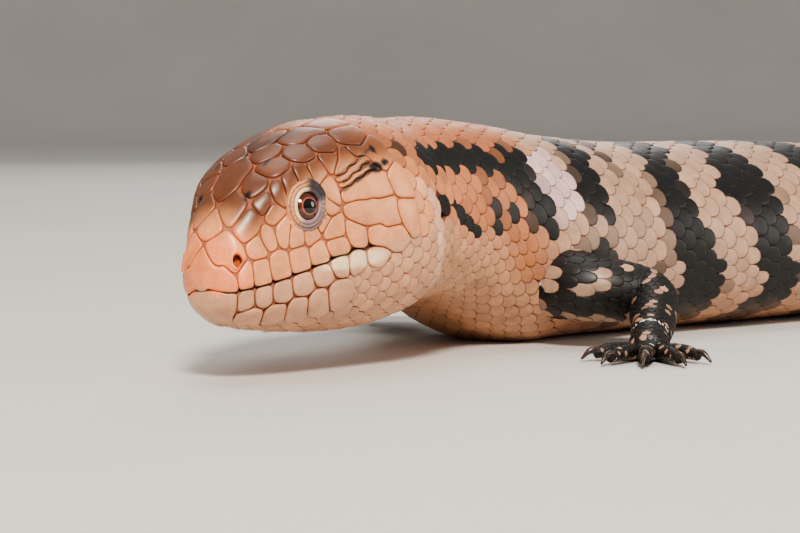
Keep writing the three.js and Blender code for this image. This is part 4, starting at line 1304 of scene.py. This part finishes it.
def limb_tubes():
    """Tubes of the legs, palms and toes."""
    for name, leg in LEGS.items():
        sole, toes, _ = foot_parts(leg)
        shapes = {"limb": ((leg_joints(leg), [row[3] for row in leg.line]), 26, 28), "palm": (sole, 14, 24)}
        shapes.update({f"toe_{i}": (toe, 12, 16) for i, toe in enumerate(toes)})
        for part, (line, steps, columns) in shapes.items():
            yield closed_tube(f"{name}_{part}", tube_rings(*line, steps, columns, -LIMB_COAT_DEPTH))


def build_skin(colours, material):
    """The whole hide in one closed mesh: body, legs, palms and toes joined with no seam."""
    lengths = np.concatenate([[0.1, 0.4, 0.9, 1.5, 2.2], np.arange(2.9, 67, 0.62), np.arange(67, 514, 2.6),
                              [515.5, 517.5, 518.8, 519.5]])
    turns = np.arange(SKIN_COLUMNS) * 360 / SKIN_COLUMNS
    s, d = np.meshgrid(lengths, turns, indexing="ij")
    body = closed_tube("skin", skin_point(s, d, -np.minimum(skin_depth(s, d), half_width(s) * 0.8)))
    paint(body.data, skin_tint(s, d, colours).reshape(-1, 3))
    body.data.materials.append(material)
    parts = list(limb_tubes())
    for part in parts:
        paint(part.data, np.tile(np.array(colours.black) * 1.2, (len(part.data.vertices), 1)))
        part.data.materials.append(material)
        join = body.modifiers.new("join", "BOOLEAN")
        join.operation = "UNION"
        join.solver = "MANIFOLD"
        join.object = part
    body.data = plain_mesh(body)
    for part in parts:
        bpy.data.objects.remove(part)
    body.data.polygons.foreach_set("use_smooth", [True] * len(body.data.polygons))
    return body


def eye_axes(side):
    """The middle of an eyeball, the way it looks out, and back and up square to that."""
    seat, out = eye_seat(side)
    _, back, _, up = frame_at(EYE_BACK)
    rise = unit(up - out * (up @ out))
    return seat, out, unit(back - out * (back @ out) - rise * (back @ rise)), rise


def sided(name, side):
    """A name with its side."""
    return name + ("_left" if side > 0 else "_right")


def on_eye(side, radius, polar, spin):
    """A point round an eye: its distance from the middle, angle from where it looks and angle round that."""
    seat, out, back, rise = eye_axes(side)
    polar, spin = np.radians(polar)[..., None], np.radians(spin)[..., None]
    return seat + np.asarray(radius)[..., None] * (
        np.cos(polar) * out + np.sin(polar) * (np.cos(spin) * back + np.sin(spin) * rise))


def build_eye(side, material):
    """An eyeball with a slight bulge over the pupil; its material reads polar and spin."""
    polar = np.concatenate([np.linspace(1.5, 60, 60), np.linspace(64, 178, 24)])
    spin = np.arange(96) * 360 / 96
    p, t = np.meshgrid(polar, spin, indexing="ij")
    radius = EYE_RADIUS - 0.12 + 0.14 * smooth(38, 0, p)
    eye = closed_tube(sided("eyeball", side), on_eye(side, radius, p, t))
    attribute(eye.data, "polar", "FLOAT", p.ravel())
    attribute(eye.data, "spin", "FLOAT_VECTOR",
              np.stack([np.cos(np.radians(t)), np.sin(np.radians(t)), 0 * t], -1).reshape(-1, 3))
    eye.data.materials.append(material)
    return eye


def lid_edge(spin):
    """Half-width of the eye's opening in each direction: a rounded almond, tilted back and up."""
    lean = np.radians(spin - 62)
    return 2.9 + 0.26 * np.cos(2 * lean) + 0.12 * np.cos(lean)


# Rings of a lid: how far outside the opening's rim, and how far out from the middle of the eyeball.
# The first INNER_RINGS are the smooth rim, BEADED rings carry grains and GROOVED rings lie between them,
# darkened as painted shade
INNER_RINGS, FINE_BEADED, COARSE_BEADED, GROOVED = 6, (7, 8, 9), (11, 12), (6, 10)
LID_RINGS = [(-0.25, 2.6), (-0.06, 3.45), (0.0, 3.72), (0.16, 3.92), (0.45, 3.98), (0.75, 3.84),
             (0.92, 3.55), (1.08, 3.6), (1.32, 3.7), (1.56, 3.56), (1.7, 3.2), (1.86, 3.28), (2.1, 3.26),
             (2.35, 2.95), (2.6, 2.3), (2.6, 1.3), (-0.25, 1.3)]


def build_lids(side, colours, material):
    """The ring of lids round an eye, with a smooth rim and two rows of grains outside it."""
    seat, out, back, rise = eye_axes(side)
    spin = np.arange(240) * 360 / 240
    turn = np.radians(spin)
    way = np.cos(turn)[:, None] * back + np.sin(turn)[:, None] * rise
    fine, coarse = 0.5 + 0.5 * np.cos(turn * 26), 0.5 + 0.5 * np.cos(turn * 20)
    front_up = smooth(-0.15, 0.4, np.cos(turn - math.radians(145)))
    back_up = smooth(0.72, 0.95, np.cos(turn - math.radians(LID_CORNER)))
    rings, tints = [], []
    for i, (outside, height) in enumerate(LID_RINGS):
        stretch = 1 + 0.12 * back_up * smooth(0.4, 2.0, outside)
        bead = 0.14 * fine if i in FINE_BEADED else 0.16 * coarse if i in COARSE_BEADED else 0
        reach = (lid_edge(spin) + outside) * stretch
        rings.append(seat + out * (height + bead + 0 * spin)[:, None] + way * reach[:, None])
        grey, cream = np.array(LID_GREY), np.array(LID_CREAM)
        if i >= INNER_RINGS:
            grey, cream = np.array(OUTER_LID_GREY), np.array(colours.cheek) * 0.8
        # Painted shade: the grooves between the rows of grains are darkened
        tint = blend(grey, cream, front_up) * (0.3 if i in GROOVED else 1)
        tints.append(blend(tint, np.array(LID_DARK), back_up * (0.95 if i > 3 else 0.8)))
    rings, tints = np.array(rings), np.array(tints)
    rows, columns = rings.shape[:2]
    last = (rows - 1) * columns
    faces = grid_faces(rows, columns)
    faces += [(last + j, j, (j + 1) % columns, last + (j + 1) % columns) for j in range(columns)]
    made = new_object(sided("eyelids", side), rings.reshape(-1, 3), faces)
    face_out(made.data)
    paint(made.data, tints.reshape(-1, 3))
    attribute(made.data, "rim", "FLOAT", np.ones(rows * columns))
    made.data.materials.append(material)
    return made


def build_claws(material):
    """The twenty claws, each a hooked tube."""
    vertices, faces = [], []
    for leg in LEGS.values():
        for points, (root, middle, tip) in foot_parts(leg)[2]:
            points = np.array(points)
            hooked = [points[0], points[0] + [0, 0, 0.5], points[1] + [0, 0, 0.6], points[2] + [0, 0, 0.15]]
            rings = tube_rings(hooked, [root, root, middle, tip], 14, 14)
            faces += tube_faces(*rings.shape[:2], len(vertices))
            vertices.extend(rings.reshape(-1, 3))
    made = new_object("claws", vertices, faces)
    face_out(made.data)
    made.data.materials.append(material)
    return made


class Finish:
    """A material in the making: its tree, its shader and short ways to add nodes."""

    def __init__(self, name, **fixed):
        self.material = bpy.data.materials.new(name)
        self.material.use_nodes = True
        self.tree = self.material.node_tree
        self.shader = self.tree.nodes["Principled BSDF"]
        for socket, value in fixed.items():
            self.shader.inputs[socket.replace("_", " ")].default_value = value
        self.where = self.tree.nodes.new("ShaderNodeTexCoord").outputs["Object"]

    def set(self, socket, value):
        if hasattr(value, "is_output"):
            self.tree.links.new(value, socket)
        else:
            socket.default_value = value

    def read(self, name, output="Color"):
        node = self.tree.nodes.new("ShaderNodeAttribute")
        node.attribute_name = name
        return node.outputs[output]

    def noise(self, scale, detail=3.0, roughness=0.55, where=None):
        node = self.tree.nodes.new("ShaderNodeTexNoise")
        self.set(node.inputs["Vector"], where or self.where)
        self.set(node.inputs["Scale"], scale)
        self.set(node.inputs["Detail"], detail)
        self.set(node.inputs["Roughness"], roughness)
        return node.outputs[0]

    def ramp(self, value, *stops):
        node = self.tree.nodes.new("ShaderNodeValToRGB")
        self.set(node.inputs[0], value)
        steps = node.color_ramp.elements
        while len(steps) < len(stops):
            steps.new(0.5)
        for step, (at, colour) in zip(steps, stops):
            step.position = at
            step.color = (*colour, 1) if hasattr(colour, "__len__") else (colour, colour, colour, 1)
        return node.outputs[0]

    def mix(self, a, b, share=1.0, blend="MIX"):
        node = self.tree.nodes.new("ShaderNodeMix")
        node.data_type = "RGBA"
        node.blend_type = blend
        self.set(node.inputs[0], share)
        self.set(node.inputs[6], a)
        self.set(node.inputs[7], b)
        return node.outputs[2]

    def maths(self, operation, a, b=0.0):
        node = self.tree.nodes.new("ShaderNodeMath")
        node.operation = operation
        self.set(node.inputs[0], a)
        self.set(node.inputs[1], b)
        return node.outputs[0]

    def bump(self, height, distance):
        node = self.tree.nodes.new("ShaderNodeBump")
        self.set(node.inputs["Height"], height)
        self.set(node.inputs["Distance"], distance)
        self.set(node.inputs["Strength"], 1.0)
        self.tree.links.new(node.outputs[0], self.shader.inputs["Normal"])

    def out(self, colour, roughness):
        self.set(self.shader.inputs["Base Color"], colour)
        self.set(self.shader.inputs["Roughness"], roughness)
        return self.material


def scale_finish(name, groove, coat, bump, rough):
    """Horny scales: colour from the tint attribute, cloudy, darker at the rims as painted shade in the
    grooves, faintly waxy.
    """
    make = Finish(name, Coat_Weight=coat, Coat_Roughness=0.28, Subsurface_Weight=0.06,
                  Subsurface_Scale=0.0015)
    cloud = make.ramp(make.noise(260, 4), (0.3, 0.82), (0.7, 1.12))
    fine = make.ramp(make.noise(1500, 3), (0.3, 0.9), (0.72, 1.06))
    colour = make.mix(make.mix(make.read("tint"), cloud, blend="MULTIPLY"), fine, blend="MULTIPLY")
    # Painted shade in the grooves: each scale darkens toward its rim
    edge = make.ramp(make.read("rim", "Fac"), (0.0, groove), (0.55, (1, 1, 1)))
    colour = make.mix(colour, edge, blend="MULTIPLY")
    make.bump(make.mix(make.noise(700, 3), make.noise(2600, 2), 0.35), bump)
    return make.out(colour, make.ramp(make.noise(420, 3), (0.3, rough), (0.7, rough + 0.16)))


def skin_finish():
    """Soft skin, dull and mottled."""
    make = Finish("soft_skin", Subsurface_Weight=0.05, Subsurface_Scale=0.0015)
    mottle = make.ramp(make.noise(900, 4), (0.3, 0.8), (0.7, 1.15))
    colour = make.mix(make.read("tint"), mottle, blend="MULTIPLY")
    make.bump(make.noise(1800, 3), 0.00015)
    return make.out(colour, 0.6)


def eye_finish():
    """A dark pupil in a red-brown iris, with a bright ring round the pupil, under a wet surface."""
    make = Finish("eye", Coat_Weight=1.0, Coat_Roughness=0.03, IOR=1.38)
    spokes = make.noise(5, 5, 0.6, make.read("spin", "Vector"))
    polar = make.maths("DIVIDE", make.read("polar", "Fac"), 60.0)
    shake = make.maths("MULTIPLY", make.maths("SUBTRACT", spokes, 0.5), 0.05)
    shaken = make.maths("ADD", polar, shake)
    iris = make.ramp(shaken, (0.33, (0.004, 0.003, 0.003)), (0.342, (0.004, 0.003, 0.003)),
                     (0.355, (0.42, 0.12, 0.06)), (0.385, (0.40, 0.10, 0.05)), (0.43, (0.10, 0.022, 0.013)),
                     (0.58, (0.06, 0.014, 0.009)), (0.68, (0.012, 0.005, 0.004)))
    fibres = make.ramp(spokes, (0.35, 0.7), (0.65, 1.25))
    return make.out(make.mix(iris, fibres, blend="MULTIPLY"), 0.12)


def claw_finish():
    """Dark glossy horn."""
    make = Finish("claw_horn", Coat_Weight=0.3, Coat_Roughness=0.2)
    colour = make.ramp(make.noise(350, 3), (0.3, (0.012, 0.008, 0.006)), (0.7, (0.06, 0.035, 0.022)))
    make.bump(make.noise(900, 2), 0.0001)
    return make.out(colour, 0.3)


def floor_finish():
    """A pale matt floor."""
    make = Finish("studio_floor")
    colour = make.ramp(make.noise(3, 3), (0.3, (0.60, 0.585, 0.56)), (0.7, (0.65, 0.635, 0.61)))
    make.bump(make.noise(300, 3), 0.0003)
    return make.out(colour, 0.75)


def add_piece(piece, slot, *nodes):
    """Sets a piece to ride on the one body; it may take the place of solids, which are hidden."""
    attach(piece, "root")
    if nodes:
        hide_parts(*nodes)


def build_stage(material):
    """A pale floor that turns up into a low wall far out on every side."""
    line = [(radius, 0) for radius in (0.02, 0.5, 1.5, FLOOR_FLAT)]
    line += [(FLOOR_FLAT + FLOOR_BEND * math.sin(a), FLOOR_BEND - FLOOR_BEND * math.cos(a))
             for a in np.radians(np.arange(9, 91, 9))]
    line.append((FLOOR_FLAT + FLOOR_BEND, WALL_TOP))
    columns = 96
    turns = np.arange(columns) * 2 * np.pi / columns
    rings = np.array([[(r * math.cos(t), r * math.sin(t), z) for t in turns] for r, z in line])
    faces = grid_faces(len(rings), columns) + [tuple(reversed(range(columns)))]
    floor = new_object("floor", rings.reshape(-1, 3), faces, measure=1)
    floor.data.materials.append(material)
    return floor


def soft_light(name, place, aim, size, power, colour):
    """A round area light that shines at a place."""
    data = bpy.data.lights.new(name, "AREA")
    data.shape = "DISK"
    data.size = size
    data.energy = power
    data.color = colour
    made = put_in_scene(name, data)
    made.location = place
    made.rotation_mode = "QUATERNION"
    made.rotation_quaternion = (Vector(aim) - Vector(place)).to_track_quat("-Z", "Y")
    return made


def head_axes():
    """The head's own axes, as columns back, right and up."""
    turn, tilt = math.radians(heading(0)), math.radians(ROLL[0][1])
    back = unit(np.array([math.cos(turn), math.sin(turn), HEAD_SLOPE]))
    left = np.array([math.sin(turn), -math.cos(turn), 0.0])
    up = np.cross(left, back)
    left, up = turned(left, back, np.array(tilt)), turned(up, back, np.array(tilt))
    return np.stack([back, -left, up], 1)


def place_camera():
    """The photograph's view: turned and raised round the snout tip, then shifted."""
    a, e = math.radians(CAMERA_TURN), math.radians(CAMERA_RISE)
    back = np.array([-math.cos(a) * math.cos(e), -math.sin(a) * math.cos(e), math.sin(e)])
    right = unit(np.cross([0, 0, 1], back))
    up = np.cross(back, right)
    c, s = math.cos(math.radians(CAMERA_ROLL)), math.sin(math.radians(CAMERA_ROLL))
    view = np.array([c * right + s * up, -s * right + c * up, back])
    world = head_axes() @ view.T
    snout = np.array([*SNOUT_AT, LINE_HEIGHT[0][1]])
    spot = (snout - world @ np.array(CAMERA_SHIFT)) * MM
    data = bpy.data.cameras.new("camera")
    data.lens, data.sensor_width = CAMERA_LENS, CAMERA_SENSOR
    data.clip_start, data.clip_end = CAMERA_CLIP
    made = put_in_scene("camera", data)
    made.matrix_world = Matrix([[*world[i], spot[i]] for i in range(3)] + [[0, 0, 0, 1]])
    bpy.context.scene.camera = made
    return made


def lay_pieces(beds, pieces, thickness):
    """Lays each table of roots over the beds, as a piece that rides on the body."""
    bed, plate = bed_mesh(beds), scale_plate()
    tree = lay_tree(horn("coat_horn"))
    for name, slot, roots in pieces:
        add_piece(lay_scales(name, roots, plate, bed, tree, thickness), slot)
    bpy.data.objects.remove(bed)
    bpy.data.objects.remove(plate)


def settings():
    """The colours and sizes set in the scene."""
    scene = bpy.context.scene
    return scene.skink_colours, scene.skink_sizes


def horn(name):
    """A scale finish, made once."""
    return bpy.data.materials.get(name) or scale_finish(name, *HORN[name])


class SKINK_OT_skin(bpy.types.Operator):
    """Make the seamless hide of body, legs and feet"""
    bl_idname = "skink.skin"
    bl_label = "Skin"

    def execute(self, context):
        colours, _ = settings()
        skin = build_skin(colours, skin_finish())
        nodes = [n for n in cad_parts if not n.startswith("eye")]
        add_piece(skin, "body_scales", *nodes)
        return {"FINISHED"}


class SKINK_OT_shields(bpy.types.Operator):
    """Make the shields of the head"""
    bl_idname = "skink.shields"
    bl_label = "Head shields"

    def execute(self, context):
        colours, sizes = settings()
        add_piece(build_head_shields(colours, sizes, horn("head_horn")), "head_scales")
        return {"FINISHED"}


class SKINK_OT_body_scales(bpy.types.Operator):
    """Lay the overlapping scales of throat, trunk and tail"""
    bl_idname = "skink.body_scales"
    bl_label = "Body scales"

    def execute(self, context):
        colours, sizes = settings()
        lengths, roots = body_scales(colours, sizes)
        pieces = [(name, slot, chosen(roots, (lengths >= start) & (lengths < end)))
                  for name, slot, start, end in COAT_PIECES]
        lay_pieces([body_bed()], pieces, sizes.scale_thickness)
        return {"FINISHED"}


class SKINK_OT_leg_scales(bpy.types.Operator):
    """Lay the scales of legs, palms and toes"""
    bl_idname = "skink.leg_scales"
    bl_label = "Leg scales"

    def execute(self, context):
        colours, sizes = settings()
        pick = np.random.default_rng(sizes.seed + 2)
        beds, legs, feet = [], [], []

        def lay(kind, number, line, tables, hidden=None):
            steps, columns, count, paler = LIMB_SCALES[kind]
            beds.append(limb_bed(*line, tile_of(kind, number), steps, columns))
            tables.append(limb_table(beds[-1], count, colours, pick, paler, hidden))

        for number, leg in enumerate(LEGS.values()):
            sole, toes, _ = foot_parts(leg)
            lay("leg", number, (leg_joints(leg), [row[3] for row in leg.line]), legs, in_the_body)
            lay("palm", number, sole, feet)
            for i, toe in enumerate(toes):
                lay("toe", number * len(toes) + i, toe, feet)
        pieces = [("leg_scales", "leg_scales", joined_tables(legs)),
                  ("foot_scales", "foot_scales", joined_tables(feet))]
        lay_pieces(beds, pieces, sizes.scale_thickness)
        return {"FINISHED"}


class SKINK_OT_eyes(bpy.types.Operator):
    """Make the eyeballs and the lids round them"""
    bl_idname = "skink.eyes"
    bl_label = "Eyes and lids"

    def execute(self, context):
        colours, _ = settings()
        material = eye_finish()
        for side, node in ((1, "eye_left"), (-1, "eye_right")):
            add_piece(build_eye(side, material), "eye", node)
            add_piece(build_lids(side, colours, horn("lid_skin")), "head_scales")
        return {"FINISHED"}


class SKINK_OT_claws(bpy.types.Operator):
    """Make the twenty claws"""
    bl_idname = "skink.claws"
    bl_label = "Claws"

    def execute(self, context):
        add_piece(build_claws(claw_finish()), "foot_scales")
        return {"FINISHED"}


class SKINK_OT_stage(bpy.types.Operator):
    """Set the pale floor, the soft lights and the camera"""
    bl_idname = "skink.stage"
    bl_label = "Stage"

    def execute(self, context):
        build_stage(floor_finish())
        for light in LIGHTS:
            soft_light(*light)
        world = bpy.data.worlds.new("studio")
        bpy.context.scene.world = world
        world.use_nodes = True
        background = world.node_tree.nodes["Background"]
        background.inputs["Color"].default_value = WORLD_COLOUR
        background.inputs["Strength"].default_value = WORLD_STRENGTH
        bpy.context.scene.view_settings.look = "AgX - Medium High Contrast"
        place_camera()
        return {"FINISHED"}


OPERATORS = (SKINK_OT_stage, SKINK_OT_skin, SKINK_OT_shields, SKINK_OT_body_scales, SKINK_OT_leg_scales,
             SKINK_OT_eyes, SKINK_OT_claws)


class SKINK_PT_panel(bpy.types.Panel):
    """The skink's pieces in the sidebar"""
    bl_idname = "SKINK_PT_panel"
    bl_label = "Skink"
    bl_space_type = "VIEW_3D"
    bl_region_type = "UI"
    bl_category = "Skink"

    def draw(self, context):
        for operator in OPERATORS:
            self.layout.operator(operator.bl_idname)


CLASSES = (SkinkColours, SkinkSizes, *OPERATORS, SKINK_PT_panel)


def register():
    for made in CLASSES:
        bpy.utils.register_class(made)
    bpy.types.Scene.skink_colours = PointerProperty(type=SkinkColours)
    bpy.types.Scene.skink_sizes = PointerProperty(type=SkinkSizes)


def unregister():
    del bpy.types.Scene.skink_sizes
    del bpy.types.Scene.skink_colours
    for made in reversed(CLASSES):
        bpy.utils.unregister_class(made)


def main():
    register()
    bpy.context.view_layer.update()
    bpy.ops.skink.stage()
    bpy.ops.skink.skin()
    bpy.ops.skink.shields()
    bpy.ops.skink.body_scales()
    bpy.ops.skink.leg_scales()
    bpy.ops.skink.eyes()
    bpy.ops.skink.claws()


if __name__ == "__main__":
    main()
